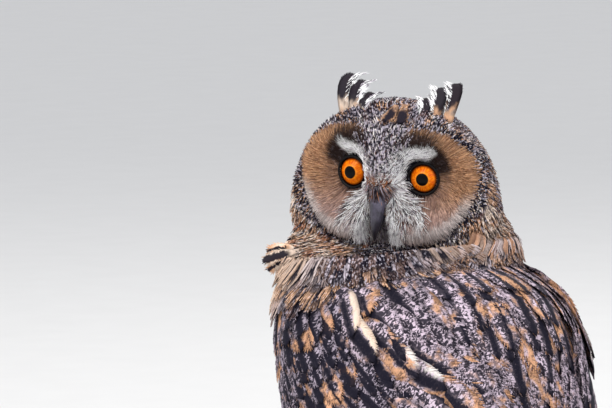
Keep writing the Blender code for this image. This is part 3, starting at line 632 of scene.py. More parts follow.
class Coat:
    """Gathers slivers, all of one finish, into one mesh piece."""

    def __init__(self, name, material, slot):
        self.name, self.material, self.slot = name, material, slot
        self.points, self.faces, self.shades, self.maps, self.total = [], [], {}, {}, 0

    def lay(self, middle, out, half_width, thick, home, ring=STRAND, patch=PATCH, camber=0.0, **shades):
        """middle and out have a point for each step of each sliver; home is its root on the unwrap."""
        count, steps = middle.shape[:2]
        sides = len(ring)
        run = unit(np.gradient(middle, axis=1))
        across = unit(np.cross(out, run))
        up = unit(np.cross(run, across))
        half_width = np.broadcast_to(half_width, (count, steps))
        thick = np.broadcast_to(thick, (count, steps))
        wide = half_width[:, :, None] * ring[:, 0]
        tall = thick[:, :, None] * ring[:, 1] - camber * wide**2 / np.maximum(half_width[:, :, None], 0.1)
        body = middle[:, :, None] + across[:, :, None] * wide[..., None] + up[:, :, None] * tall[..., None]
        root = middle[:, 0] - run[:, 0] * 0.2
        tip = middle[:, -1] + run[:, -1] * half_width[:, -1:] * 1.2
        ends = np.stack((root, tip), 1)
        self.points.append(np.concatenate((body.reshape(count, -1, 3), ends), 1).reshape(-1, 3))
        faces = ring_faces(steps, sides)
        size = steps * sides + 2
        starts = self.total + size * np.arange(count)
        self.faces.append((starts[:, None, None] + faces).reshape(-1, 3))
        self.total += size * count
        share = np.broadcast_to(np.linspace(0, 1, steps)[None, :, None], (count, steps, sides))
        length = np.linalg.norm(np.diff(middle, axis=1), axis=-1)
        down = np.concatenate((np.zeros((count, 1)), np.cumsum(length, 1)), 1)
        sideways = np.broadcast_to(ring[:, 0], (count, steps, sides))
        lie = np.stack((wide, np.repeat(down[:, :, None], sides, 2)), -1)
        if "lie" in shades:
            lie = np.repeat(shades.pop("lie")[:, :, None], sides, 2)
        self.map("lie", lie / 100)
        local = np.stack((sideways * 0.5, share - 0.5), -1) * patch
        self.map("OFBake", np.asarray(home)[:, None, None] + local)
        for name, value in shades.items():
            value = np.asarray(value, float)
            if value.ndim == 1:
                value = value[None, None]
            elif value.ndim == 2:
                value = value[:, None]
            value = np.broadcast_to(value, (count, steps, value.shape[-1]))
            self.shade(name, np.repeat(value[:, :, None], sides, 2))

    def with_ends(self, values):
        """Adds each sliver's two end points to values that its rings have."""
        count, parts = values.shape[0], values.shape[-1]
        ends = np.stack((values[:, 0].mean(1), values[:, -1].mean(1)), 1)
        return np.concatenate((values.reshape(count, -1, parts), ends), 1).reshape(-1, parts)

    def map(self, name, values):
        self.maps.setdefault(name, []).append(self.with_ends(values))

    def shade(self, name, values):
        self.shades.setdefault(name, []).append(self.with_ends(values))

    def make(self, *replaced):
        points = (np.concatenate(self.points) + SHIFT) * MM
        faces = np.concatenate(self.faces)
        mesh = bpy.data.meshes.new(self.name)
        mesh.vertices.add(len(points))
        mesh.vertices.foreach_set("co", points.astype(np.float32).ravel())
        mesh.loops.add(faces.size)
        mesh.loops.foreach_set("vertex_index", faces.astype(np.int32).ravel())
        mesh.polygons.add(len(faces))
        mesh.polygons.foreach_set("loop_start", np.arange(0, faces.size, 3, dtype=np.int32))
        mesh.polygons.foreach_set("use_smooth", np.ones(len(faces), bool))
        for name, values in self.maps.items():
            put_map(mesh, name, np.concatenate(values)[faces.ravel()])
        for name, values in self.shades.items():
            put_colours(mesh, name, np.concatenate(values))
        mesh.update(calc_edges=True)
        mesh.materials.append(self.material)
        piece = bpy.data.objects.new(self.name, mesh)
        bpy.context.scene.collection.objects.link(piece)
        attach(piece, "root")
        if replaced:
            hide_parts(*replaced)
        print(self.name, len(faces), "triangles")
        return piece


# %% [markdown]
# ## Combing
# Feathers lie like roof tiles: each is rooted in the skin, runs back along the body and lifts a
# little at its tip. Combing starts at the roots, steps along the form in the coat's direction
# and drops each new point back on the form. The direction is back over the head and down the
# body, and it fans out from under the chin, as it does on a bird that looks over its back.

# %% Comb middle lines over the form


def nearest(points):
    """The nearest points of the form, and the form's way out there."""
    found = [form_tree.find_nearest(tuple(p)) for p in points]
    return np.array([f[0] for f in found]), np.array([f[1] for f in found])


def comb(roots, ways, lengths, steps, depth, lift):
    """Middle lines from roots along ways, sunk by depth at the root and lifted at the tip."""
    middle = np.empty((len(roots), steps, 3))
    out = np.empty_like(middle)
    at, way = roots, ways
    depth, lift = np.broadcast_to(depth, len(roots)), np.broadcast_to(lift, len(roots))
    for k in range(steps):
        near, normal = nearest(at)
        height = blend(-depth, lift, (k / (steps - 1)) ** 0.8)
        middle[:, k] = near + normal * height[:, None]
        out[:, k] = normal
        way = unit(way - normal * dot(way, normal)[:, None])
        at = near + way * (lengths / (steps - 1))[:, None]
    return middle, out


grid_station, grid_angle = np.meshgrid(np.linspace(0.2, 8, 160), np.arange(-180, 180, 4.0), indexing="ij")
grid_station, grid_angle = grid_station.ravel(), grid_angle.ravel()
tube_tree = KDTree(len(grid_station))
for index, point in enumerate(body_at(grid_station, grid_angle)):
    tube_tree.insert(tuple(point), index)
tube_tree.balance()


def on_tube(points):
    """The station and the angle nearest to each point."""
    index = np.array([tube_tree.find(tuple(p))[1] for p in points])
    return grid_station[index], grid_angle[index]


CHIN = head_at(0, 12, -30)
LEG_TOP, LEG_BACK, PALM_X, PALM_Y = 62, 40, 27, 6


def on_leg(points, station):
    return (station > 3) & (points[:, 2] < LEG_TOP) & (points[:, 1] < LEG_BACK)


def coat_way(points, station, angle):
    """The direction that the coat lies in, before it is laid flat on the form."""
    down = unit(body_at(station + 0.05, angle) - body_at(station - 0.05, angle))
    x, forward, z = in_head(points)
    back = np.stack((0.1 * np.sign(x), np.full_like(x, 0.85), -0.15 - 1.6 * rise(20, -30, z)), -1)
    back = back @ head_turn.T
    from_chin = points - CHIN
    near_chin = rise(60, 15, np.linalg.norm(from_chin, axis=-1)) * rise(-20, 10, forward)
    on_head = rise(-36, -20, z) * (1 - near_chin)
    way = down * (1 - on_head)[:, None] + back * on_head[:, None]
    shank = on_leg(points, station)
    palm = np.stack((PALM_X * np.sign(points[:, 0]), np.full_like(x, PALM_Y), points[:, 2]), -1)
    toes = rise(18, 10, points[:, 2])[:, None]
    way = np.where(shank[:, None], blend(np.array((0, 0, -1.0)), unit(points - palm), toes), way)
    return unit(way + (unit(from_chin) * 0.6 - np.array((0, 0, 0.7))) * near_chin[:, None])


# %% [markdown]
# ## Where feathers grow
# A bird's feathers grow at even distances. Roots could be scattered at random, but some would
# touch and others leave bare skin. So many places are tried, more of them on larger faces, and
# a place is kept only where no kept one is near. Each root also gets its place on the skin's
# unwrap, where the baked colours go.

# %% Spread roots evenly over the form
TRIES = 5.0
corners = form_points[np.array([f[:3] for f in form_faces])]
quads = np.array([f[3] if len(f) > 3 else f[2] for f in form_faces])
face_area = np.linalg.norm(
    np.cross(corners[:, 1] - corners[:, 0], corners[:, 2] - corners[:, 0]), axis=-1
)
face_middle = (corners.sum(1) + form_points[quads]) / 4


def spread_roots(mask, gap):
    """Random points on the faces in the mask, about a gap or more from each other."""
    chosen = np.flatnonzero(mask)
    area = face_area[chosen]
    count = int(TRIES * area.sum() / gap**2)
    picks = chosen[draw.choice(len(chosen), count, p=area / area.sum())]
    a, b = draw.random((2, count, 1))
    c = corners[picks]
    points = c[:, 0] + (c[:, 1] - c[:, 0]) * a + (c[:, 2] - c[:, 0]) * b
    cells, kept = {}, []
    for index, point in enumerate(points):
        key = tuple((point // gap).astype(int))
        near = (
            cells.get((key[0] + i, key[1] + j, key[2] + k))
            for i in (-1, 0, 1) for j in (-1, 0, 1) for k in (-1, 0, 1)
        )
        if all(other is None or np.abs(points[other] - point).max() > gap * 0.8 for other in near):
            cells[key] = index
            kept.append(index)
    return points[kept]


def unwrap(points, station, angle):
    """Where a root lies on the skin's unwrap: the body in one half and the head in the other."""
    x, forward, z = in_head(points)
    on_head = z > -38
    body = np.stack((0.02 + 0.96 * (angle + 180) / 360, 0.02 + 0.55 * station / 8), -1)
    turn = np.arctan2(x, forward) / (2 * np.pi)
    height = np.clip((z + 62) / 100, 0, 1)
    head = np.stack((0.5 + 0.48 * turn * 2, 0.62 + 0.36 * height), -1)
    return np.where(on_head[:, None], head, body)


# %% [markdown]
# ## The markings of the soft coat
# The head's crown is peppered black and frost. The neck, the breast and the belly are buff,
# with a dark streak down the middle of each feather. The back is darker and greyer. Each tract
# blends into the next, so the tints are worked out from where a feather's root lies.

# %% Colours of the soft coat
BUFF = tone(214, 168, 134)
CREAM = tone(236, 213, 194)
TAWNY = tone(196, 138, 104)
UMBER = tone(110, 84, 80)
LILAC = tone(178, 168, 180)
PALE = tone(236, 228, 224)
FEATHER_SPREAD = 0.3


def pick(choices, shares, count):
    """A colour for each feather, drawn from a few in given shares."""
    return np.array(choices)[draw.choice(len(choices), count, p=shares)]


def coat_markings(points, station, angle):
    """The ground colour, the streak's half width as a share, and the pepper of each feather."""
    count = len(points)
    z = in_head(points)[2]
    turn = np.abs(angle)
    breast = pick((CREAM, BUFF, TAWNY), (0.5, 0.4, 0.1), count)
    nape = pick((BUFF, CREAM, UMBER, LILAC), (0.44, 0.34, 0.09, 0.13), count)
    mantle = pick((BUFF, TAWNY, UMBER, LILAC), (0.34, 0.24, 0.22, 0.2), count)
    belly = pick((CREAM, BUFF), (0.5, 0.5), count)
    crown = pick((LILAC, UMBER, BUFF, PALE), (0.42, 0.22, 0.18, 0.18), count)
    on_back = rise(100, 60, turn)[:, None]
    ground = blend(breast, blend(nape, mantle, rise(1.6, 2.1, station)[:, None]), on_back)
    ground = blend(ground, belly, (rise(110, 140, turn) * rise(2.0, 3.0, station))[:, None])
    on_crown = rise(12, 30, z)
    ground = blend(ground, crown, on_crown[:, None])
    leg = on_leg(points, station)
    ground = np.where(leg[:, None], BUFF * 1.05, ground)
    streak = blend(0.24, 0.34, on_back[:, 0]) * (1 - on_crown)
    streak = np.where(turn > 130, 0.16, streak) * ~leg
    pepper = blend(0.08, blend(0.2, 0.6, rise(1.6, 2.2, station)), on_back[:, 0])
    pepper = np.where(z > -38, 0.6, pepper)
    pepper = blend(pepper, 1.0, on_crown) * ~leg
    return ground, streak, pepper


def blade_tints(ground, streak, seed, c, share):
    """One blade's colours along its length: painted shade at the root, and ink where the streak is."""
    count = len(seed)
    dark = (abs(c) <= streak + 0.06 * np.sin(seed * 40)) * 1.0
    dark = dark[:, None] * np.interp(share, (0, 0.3, 0.5, 0.9, 1), (0.1, 0.7, 1, 0.95, 0.5))[None]
    tint = ground * blend(0.86, 1.08, seed)[:, None] * draw.uniform(0.96, 1.04, (count, 1))
    # painted shade: the blade darkens towards its root, where the next feather covers it, and is a little
    # lighter at its tip
    tint = tint[:, None] * np.interp(share, (0, 0.4, 1), (0.6, 0.95, 1.08))[None, :, None]
    return blend(tint, INK, dark[..., None])


def soft_feathers(coat, roots, length, width, blades, steps=5, depth=2.5, lift=0.8,
                  marks=None, ways=None):
    """Each feather is a fan of barbs that share a root. The middle barbs carry the streak."""
    station, angle = on_tube(roots)
    ways = coat_way(roots, station, angle) if ways is None else ways
    _, normal = nearest(roots)
    count = len(roots)
    ways = unit(ways + draw.normal(0, 0.09, (count, 3)))
    ways = unit(ways - normal * dot(ways, normal)[:, None])
    sides = np.cross(normal, ways)
    ground, streak, pepper = coat_markings(roots, station, angle) if marks is None else marks
    size = draw.uniform(0.85, 1.15, count)
    seed = draw.random(count)
    lifts = lift * draw.uniform(0.6, 1.2, count)
    home = unwrap(roots, station, angle)
    share = np.linspace(0, 1, steps)
    for c in np.linspace(-1, 1, blades):
        turn = FEATHER_SPREAD * c + draw.normal(0, 0.04, count)
        way = ways * np.cos(turn)[:, None] + sides * np.sin(turn)[:, None]
        start = roots + sides * (c * width * 0.3 * size)[:, None]
        reach = length * size * (1 - 0.3 * c * c) * draw.uniform(0.9, 1.06, count)
        raised = lifts * draw.uniform(0.9, 1.1, count) - 0.35 * abs(c)
        middle, out = comb(start, way, reach, steps, depth, raised)
        half = width / blades * 0.85 * np.interp(share, (0, 0.35, 0.75, 1), (0.55, 1.0, 0.8, 0.12))
        tint = blade_tints(ground, streak, seed, c, share)
        traits = np.stack((pepper, seed, seed), -1)
        coat.lay(middle, out, half[None] * size[:, None], 0.2, home, tint=tint, traits=traits)


# %% [markdown]
# ## The soft coat, tract by tract
# Feathers grow in tracts, each with its own size. Masks over the form's faces part the bird
# into breast, belly, neck, mantle, hood, crown and legs, and leave out what the wings, the
# shoulders and the discs cover. The smallest feathers grow on the crown and the legs.

# %% Lay the soft coat of the body and the head
face_station, face_angle = on_tube(face_middle)
face_angle = np.abs(face_angle)
face_x, face_front, face_z = in_head(face_middle)
ON_HEAD = face_z > -40
IN_DISC = (face_front > -2) & (disc_share(face_x, face_z) < 1.0) & ON_HEAD
BETWEEN_DISCS = (face_front > 4) & (np.abs(face_x) < 14) & (face_z < 24) & (face_z > -36)
lower_edge, upper_edge = wing_edges(face_station)
UNDER_WING = (face_station > 2.15) & (face_angle < lower_edge - 7) & (face_angle > upper_edge + 4)
UNDER_SHOULDER = (face_station > 3.3) & (face_angle < upper_edge + 6)
LEGS = on_leg(face_middle, face_station)


def tract(name, slot, mask, gap, length, width, blades, **shape):
    coat = Coat(name, SOFT, slot)
    roots = spread_roots(mask, gap)
    soft_feathers(coat, roots, length, width, blades, **shape)
    print(name, "has", len(roots), "feathers")
    return coat.make()


body = ~ON_HEAD & ~UNDER_WING & ~UNDER_SHOULDER & ~LEGS
front_half = face_angle > 100
tract("breast_coat", "body_feathers", body & front_half & (face_station < 3.0), 6.6, 21, 11.5, 12)
tract("belly_coat", "body_feathers", body & front_half & (face_station >= 3.0), 7.6, 24, 13, 11)
tract("neck_coat", "body_feathers", body & ~front_half & (face_station < 1.9), 6.2, 18, 10, 13)
tract("mantle_coat", "body_feathers", body & ~front_half & (face_station >= 1.9), 5.5, 18, 10, 11)
hood = ON_HEAD & ~IN_DISC & ~BETWEEN_DISCS
crown = hood & (face_z > 16)
tract("hood_coat", "face", hood & ~crown, 3.4, 9.0, 4.6, 5, steps=3, depth=1.6, lift=0.6)
tract("crown_coat", "face", crown, 2.6, 6.0, 3.4, 5, steps=3, depth=1.4, lift=0.5)
tract("leg_coat", "leg_feathers", LEGS, 2.6, 6.5, 2.8, 4, steps=3, depth=1.3, lift=0.6)

# %% [markdown]
# ## The cape
# Where the neck meets the wings, long loose feathers hang from the neck over the front of each
# wing. Under the head they follow the form. Further down the tube gives their lines: they run
# along its stations, spread away from the nape, and rise over the wing where it starts.

# %% Hang the cape over the wings' fronts
CAPE_ROWS, CAPE_LENGTH, CAPE_WIDTH, CAPE_BLADES = 6, 17, 10, 13
CAPE_FROM, CAPE_TO, CAPE_STEP, CAPE_DEPTH, CAPE_LEAST_PITCH = 0.96, 1.5, 9.0, 3.6, 24
THROAT, THROAT_TURN = (0.0, 20.0, -30.0), 26
WING_EDGE, WING_THICKNESS, WING_SLAB_END = 4.1, 7.0, 7.0
WRIST_AT, WRIST_CURVE, WING_START = 0.3, 1.5, 1.66


def wing_front(share):
    """The station where the folded wing starts. It is furthest forward at the wrist."""
    return WING_START + WRIST_CURVE * (np.clip(share, 0, 1) - WRIST_AT) ** 2


def wing_height(station, share):
    """How high the folded wing stands over the tube."""
    share = np.clip(share, 0, 1)
    across = np.sin(np.pi * share) ** 0.6
    start = wing_front(share)
    front = rise(start - 0.1, start + 0.8, station)
    rear = 1 - 0.75 * rise(3.2, WING_SLAB_END, station)
    return WING_EDGE + WING_THICKNESS * across * front * rear * (1 - 0.75 * rise(0.5, 1.0, share))


def cape_height(station, angle):
    """How much a line follows the tube in place of the form, and its height over the tube."""
    low, high = wing_edges(station)
    share = (angle - low) / (high - low)
    start = wing_front(share)
    on_wing = rise(start - 0.35, start + 0.15, station) * rise(-0.15, 0.05, share) * rise(1.6, 1.1, share)
    return rise(0.95, 1.3, station), on_wing * (wing_height(station, share) + 0.4) + 0.4


def lay_cape(side, word):
    coat = Coat("cape_" + word, SOFT, "body_feathers")
    rows, places = np.linspace(CAPE_FROM, CAPE_TO, CAPE_ROWS), np.arange(4, 142, CAPE_STEP)
    station, angle = np.meshgrid(rows, places, indexing="ij")
    angle = angle + CAPE_STEP / 2 * (np.arange(CAPE_ROWS)[:, None] % 2) + draw.normal(0, 1.6, angle.shape)
    station = (station + draw.normal(0, 0.08, station.shape)).ravel()
    angle = np.maximum(angle.ravel(), 1)
    count = len(station)
    size, seed = draw.uniform(0.8, 1.2, count), draw.random(count)
    low_neck = rise(1.05, 1.35, station) * rise(108, 84, angle)
    _, throat_angle = on_tube(head_at(*THROAT)[None])
    from_throat = np.abs(side * angle - throat_angle + THROAT_TURN)
    breast = rise(98, 112, angle)
    ground = blend(CREAM, BUFF, (draw.uniform(0.0, 0.8, count) * (1 - 0.7 * breast))[:, None])
    ground = blend(ground, pick((UMBER, BUFF, LILAC), (0.4, 0.35, 0.25), count), low_neck[:, None] * 0.9)
    ground = ground * (1 + 0.12 * breast[:, None])
    # painted shade: the cape's upper rows, from the back round to the sides, are drawn darker
    shaded = rise(1.4, 1.0, station) * rise(100, 82, angle) * 0.6
    ground = blend(ground, pick((UMBER, TAWNY, LILAC), (0.5, 0.25, 0.25), count), shaded[:, None])
    throat = (rise(30, 14, from_throat) * rise(1.4, 1.15, station))[:, None] * 0.85
    ground = blend(ground, pick((INK, UMBER, LILAC), (0.35, 0.4, 0.25), count), throat)
    streak = blend(0.28, 0.4, np.maximum(low_neck, breast * draw.uniform(0, 1.2, count)))
    radius = along(STATIONS, station)[:, 2]
    pitch = np.linalg.norm(body_at(station + 0.05, angle) - body_at(station - 0.05, angle), axis=-1) / 0.1
    pitch = np.maximum(pitch, CAPE_LEAST_PITCH)
    drift = np.clip((angle - 50) * 0.3, -9, 14)
    share = np.linspace(0, 1, 6)
    lift = draw.uniform(1.8, 3.2, count)
    home = unwrap(body_at(station, side * angle), station, side * angle)
    for c in np.linspace(-1, 1, CAPE_BLADES):
        turn = 0.22 * c + draw.normal(0, 0.02, count)
        reach = CAPE_LENGTH * size * (1 - 0.3 * c * c) * draw.uniform(0.96, 1.04, count)
        stations = station[:, None] + (reach * np.cos(turn) / pitch)[:, None] * share
        sideways = (c * CAPE_WIDTH * 0.3 * size)[:, None] + (reach * np.sin(turn))[:, None] * share
        angles = angle[:, None] + np.degrees(sideways / radius[:, None]) + drift[:, None] * share
        by_tube, wing_level = cape_height(stations, angles)
        level = blend(-CAPE_DEPTH, lift[:, None] - 0.5 * abs(c), share**0.6)[..., None]
        tube_line = body_at(stations, side * angles)
        form_line, form_out = nearest(tube_line.reshape(-1, 3))
        form_line = (form_line + form_out * level.reshape(-1, 1)).reshape(tube_line.shape)
        wing_line = body_at(stations, side * angles, wing_level + level[..., 0])
        middle = blend(form_line, wing_line, by_tube[..., None])
        tube_out = body_out(stations, side * angles)
        out = unit(blend(form_out.reshape(middle.shape), tube_out, by_tube[..., None]))
        half = CAPE_WIDTH / CAPE_BLADES * 1.05 * np.interp(share, (0, 0.35, 0.75, 1), (0.4, 1.0, 1.0, 0.5))
        tint = blade_tints(ground, streak, seed, c, share)
        traits = np.stack((np.maximum(blend(0.1, 0.5, low_neck), throat[:, 0]), seed, seed), -1)
        coat.lay(middle, out, half[None] * size[:, None], 0.2, home, tint=tint, traits=traits)
    return coat.make()


for side, word in SIDES:
    lay_cape(side, word)

# %% [markdown]
# ## The face
# Each disc is made of loose, hair-like feathers that point away from the eye. White brows run
# up and out from the bill, black lies over them, and white bristles hang beside the bill. The
# markings are lines and spots in the face's own millimetres, mirrored on both sides.

# %% The face's markings
BROW = ((2.5, -3), (5, 3), (8, 9), (11, 12.5), (16, 14), (22, 15))
OVER_BROW = ((8, 15.5), (15, 18.5), (21.5, 17.5), (25, 12.5), (26, 8.5))
ARM = ((6, -5), (11, -8.5), (16, -13), (19.5, -19))
CHIN_PATCH = ((8.2, -15), (9.5, -24))
BILL_GAP = 4.6


def line_distance(x, z, line):
    """How far places on the face lie from a line of points, on either side of the bill."""
    x = np.abs(x)
    best = np.full(x.shape, 1e9)
    for (ax, az), (bx, bz) in zip(line, line[1:]):
        length = (bx - ax) ** 2 + (bz - az) ** 2
        share = np.clip(((x - ax) * (bx - ax) + (z - az) * (bz - az)) / length, 0, 1)
        best = np.minimum(best, np.hypot(x - blend(ax, bx, share), z - blend(az, bz, share)))
    return best


def face_tint(x, z, seed):
    """The colour of the face at x, z, with a random number for each hair."""
    from_eye = np.hypot(np.abs(x) - EYE_X, z - EYE_Z)
    share = disc_share(x, z)
    tint = blend(tone(150, 104, 76), tone(230, 182, 140), seed[:, None])
    greyer = tone(206, 176, 170)
    tint = blend(tint, greyer, (rise(0, -18, z) * 0.8)[:, None])
    tint = blend(tint, UMBER, (rise(17, 9, from_eye) * 0.7)[:, None])
    tint = blend(tint, UMBER * 0.2, (rise(6.0, 2.5, line_distance(x, z, OVER_BROW)) * 0.97)[:, None])
    tint = blend(tint, tone(84, 74, 84), (rise(9, 5, np.abs(x)) * rise(-3, 3, z) * 0.9)[:, None])
    tint = blend(tint, INK, rise(10.8, 9.3, from_eye)[:, None])
    pale = rise(2.6, 1.2, line_distance(x, z, ARM)) * 0.8
    pale = np.maximum(pale, rise(3.6, 1.6, line_distance(x, z, CHIN_PATCH)))
    pale = np.maximum(pale, rise(3.2, 1.8, line_distance(x, z, BROW)))
    pale = np.maximum(pale, 0.6 * rise(0.82, 0.93, share) * rise(0, -10, z) * rise(6, 14, np.abs(x)))
    tint = blend(tint, WHITE, (pale * blend(0.7, 1.0, seed))[:, None])
    return tint


def face_out(x, z):
    """The way straight out of the face at x, z."""
    slope_x = face_forward(x + 0.7, z) - face_forward(x - 0.7, z)
    slope_z = face_forward(x, z + 0.7) - face_forward(x, z - 0.7)
    local = np.stack((-slope_x, np.full_like(slope_x, -1.4), -slope_z), -1)
    return unit(local @ head_turn.T)


def face_hairs(coat, x, z, way, length, half_width, tint, pepper=0.0, lift=1.4, depth=0.6, bow=0.0, steps=3):
    """Hairs on the face from x, z along way, a direction in the face's own x and z."""
    count = len(x)
    share = np.linspace(0, 1, steps)
    side = np.stack((way[:, 1], -way[:, 0]), -1)
    px = x[:, None] + (way[:, :1] * share + side[:, :1] * bow * share**2) * length[:, None]
    pz = z[:, None] + (way[:, 1:] * share + side[:, 1:] * bow * share**2) * length[:, None]
    height = blend(-depth, np.broadcast_to(lift, count)[:, None], share**0.8)
    out = face_out(px, pz)
    middle = head_at(px, face_forward(px, pz), pz) + out * height[..., None]
    half = np.broadcast_to(half_width, count)[:, None] * np.interp(share, (0, 0.4, 1), (0.8, 1.0, 0.3))
    # painted shade: each hair is darker at its root, where the other hairs cover it, and a little lighter at
    # its tip
    shade = np.interp(share, (0, 0.5, 1), (0.7, 1.0, 1.06))[None, :, None]
    seed = draw.random(count)
    traits = np.stack((np.broadcast_to(pepper, count), seed, seed), -1)
    root = head_at(x, face_forward(x, z), z)
    coat.lay(middle, out, half, half * 0.8, unwrap(root, np.zeros(count), np.zeros(count)),
             tint=tint[:, None] * shade, traits=traits)


# %% [markdown]
# ## The facial discs
# Each disc is thousands of fine hairs that point away from the eye, the longest ones near it.
# They could be particle hair, but an export drops that, so each is a thin closed sliver.

# %% Lay the discs
DISC_HAIRS = 10500


def lay_disc(side, word):
    coat = Coat("disc_" + word, SOFT, "face")
    turn = draw.uniform(0, 2 * np.pi, DISC_HAIRS)
    share = np.sqrt(draw.uniform(0.3**2, 0.98**2, DISC_HAIRS))
    across, up = np.cos(turn), np.sin(turn)
    width = np.where(across > 0, DISC_OUTER, DISC_INNER)
    height = np.where(up > 0, DISC_UP, DISC_DOWN)
    x = side * (EYE_X + across * width * share)
    z = EYE_Z + up * height * share
    from_eye = np.hypot(np.abs(x) - EYE_X, z - EYE_Z)
    fits = (side * x > np.where(z < -1, BILL_GAP, 0.5)) & (from_eye > LID_RADIUS + 0.7)
    fits &= (np.abs(x) > 2.6 + 0.4 * np.maximum(z + 5, 0)) | (z < -3)
    x, z, share = x[fits], z[fits], share[fits]
    way = unit(np.stack((x - side * EYE_X, (z - EYE_Z) * 0.85), -1))
    seed = draw.random(len(x))
    length = blend(7.5, 4.5, share) * draw.uniform(0.75, 1.2, len(x))
    tint = face_tint(x + way[:, 0] * length * 0.5, z + way[:, 1] * length * 0.5, seed)
    tint = tint * draw.uniform(0.5, 1.2, (len(x), 1))
    lift = blend(0.7, 1.5, share) * draw.uniform(0.5, 1.3, len(x))
    face_hairs(coat, x, z, way, length, 0.19, tint, 0.1, lift, bow=0.08)
    return coat.make()


for side, word in SIDES:
    lay_disc(side, word)

# %% [markdown]
# ## Brows, bristles and the ruff
# The brows and the bristles stand clear of the discs. The wedge between the discs is peppered
# black and frost, and it runs up into the crown. The ruff is a band of short, stiff feathers,
# dark and speckled, that frames each disc outside its rim.

# %% Lay brows, bristles, the wedge and the ruff
WEDGE_HAIRS, CHIN_HAIRS, BILL_BASE_HAIRS = 3600, 1500, 900


def along_line(line, share):
    """Points and directions at shares along a line of points on the face."""
    line = np.array(line, float)
    steps = np.linspace(0, 1, len(line))
    x, z = np.interp(share, steps, line[:, 0]), np.interp(share, steps, line[:, 1])
    ahead = np.minimum(share + 0.1, 1)
    behind = np.maximum(share - 0.1, 0)
    way = np.stack((
        np.interp(ahead, steps, line[:, 0]) - np.interp(behind, steps, line[:, 0]),
        np.interp(ahead, steps, line[:, 1]) - np.interp(behind, steps, line[:, 1]),
    ), -1)
    return x, z, unit(way)


def hairs_on_line(coat, line, count, spread, length, half_width, tints, lift, fan=0.2, last=0.8):
    for side in (1, -1):
        x, z, way = along_line(line, draw.uniform(0, last, count))
        off = draw.normal(0, spread, count)
        x, z = x - way[:, 1] * off, z + way[:, 0] * off
        way = unit(way + draw.normal(0, fan, (count, 2)))
        tint = pick(*tints, count)
        reach = length * draw.uniform(0.7, 1.2, count)
        way[:, 0] *= side
        face_hairs(coat, x * side, z, way, reach, half_width, tint, 0.0, lift * draw.uniform(0.5, 1.2, count))


def lay_trim():
    coat = Coat("brows_and_bristles", SOFT, "face")
    white = ((WHITE, LILAC, INK), (0.8, 0.14, 0.06))
    mixed = ((WHITE, LILAC, INK, UMBER), (0.5, 0.1, 0.24, 0.16))
    hairs_on_line(coat, BROW, 900, 0.9, 7.0, 0.18, white, 1.3, 0.14)
    hairs_on_line(coat, ((6, -3), (7, 1), (8, 5)), 160, 0.9, 5, 0.18, white, 1.2, 0.2)
    hairs_on_line(coat, ARM, 330, 0.9, 9, 0.18, mixed, 2.0, 0.22)
    hairs_on_line(coat, ((7, -7), (11, -13), (13, -20)), 170, 1.0, 8, 0.18, mixed, 2.4, 0.25)
    hairs_on_line(coat, CHIN_PATCH, 520, 1.0, 6.5, 0.18, white, 2.0, 0.22, 0.9)
    hairs_on_line(coat, ((6.2, -4), (7, -10), (7.4, -16)), 300, 0.5, 7, 0.16, mixed, 2.6, 0.2)
    return coat.make()


def lay_wedge():
    coat = Coat("forehead_wedge", SOFT, "face")
    count = WEDGE_HAIRS
    z = draw.uniform(-8, 24, count)
    x = draw.uniform(-1, 1, count) * (3.6 + 0.4 * np.maximum(z + 5, 0))
    way = unit(np.stack((x * 0.05, np.ones_like(x)), -1) + draw.normal(0, 0.15, (count, 2)))
    tint = pick((LILAC, UMBER, INK, PALE), (0.4, 0.2, 0.2, 0.2), count)
    rufous = pick((tone(150, 100, 70), UMBER, INK), (0.5, 0.3, 0.2), count)
    low = rise(4, -2, z)
    tint = blend(tint, rufous, low[:, None])
    way = np.where((z < -4)[:, None], way * (1, -1), way)
    length, lift = draw.uniform(2.6, 4.4, count), draw.uniform(0.5, 1.6, count)
    face_hairs(coat, x, z, way, length, 0.4, tint, 1 - low, lift)
    return coat.make()


def lay_chin():
    """Short bristles under and beside the bill, then hairs over its base."""
    coat = Coat("chin_bristles", SOFT, "face")
    count = CHIN_HAIRS
    x, z = draw.uniform(-7, 7, count), draw.uniform(-30, -5, count)
    way = unit(np.stack((x * 0.08, -np.ones_like(x)), -1) + draw.normal(0, 0.12, (count, 2)))
    tint = pick((PALE, LILAC, UMBER), (0.6, 0.25, 0.15), count)
    tint = blend(tint, pick((INK, UMBER, TAWNY), (0.5, 0.3, 0.2), count), rise(-23, -28, z)[:, None])
    tint = blend(tint, INK, (rise(4.5, 3.0, np.abs(x)) * 0.6)[:, None])
    face_hairs(coat, x, z, way, draw.uniform(3.0, 5.5, count), 0.26, tint, 0.3, draw.uniform(0.2, 0.9, count))
    count = BILL_BASE_HAIRS
    x, z = draw.uniform(-9, 9, count), draw.uniform(-7.5, 1.5, count)
    way = unit(np.stack((x * 0.16, -np.ones_like(x)), -1) + draw.normal(0, 0.15, (count, 2)))
    middle = rise(6.0, 3.0, np.abs(x))[:, None]
    tint = blend(pick((WHITE, LILAC, UMBER), (0.6, 0.25, 0.15), count),
                 pick((UMBER * 0.6, INK, LILAC, TAWNY), (0.35, 0.2, 0.25, 0.2), count), middle)
    lift = blend(6.0, 1.2, rise(0, 5, np.abs(x))) * draw.uniform(0.6, 1.05, count)
    face_hairs(coat, x, z, way, draw.uniform(3.4, 5.4, count), 0.24, tint, 0.2, lift)
    return coat.make()


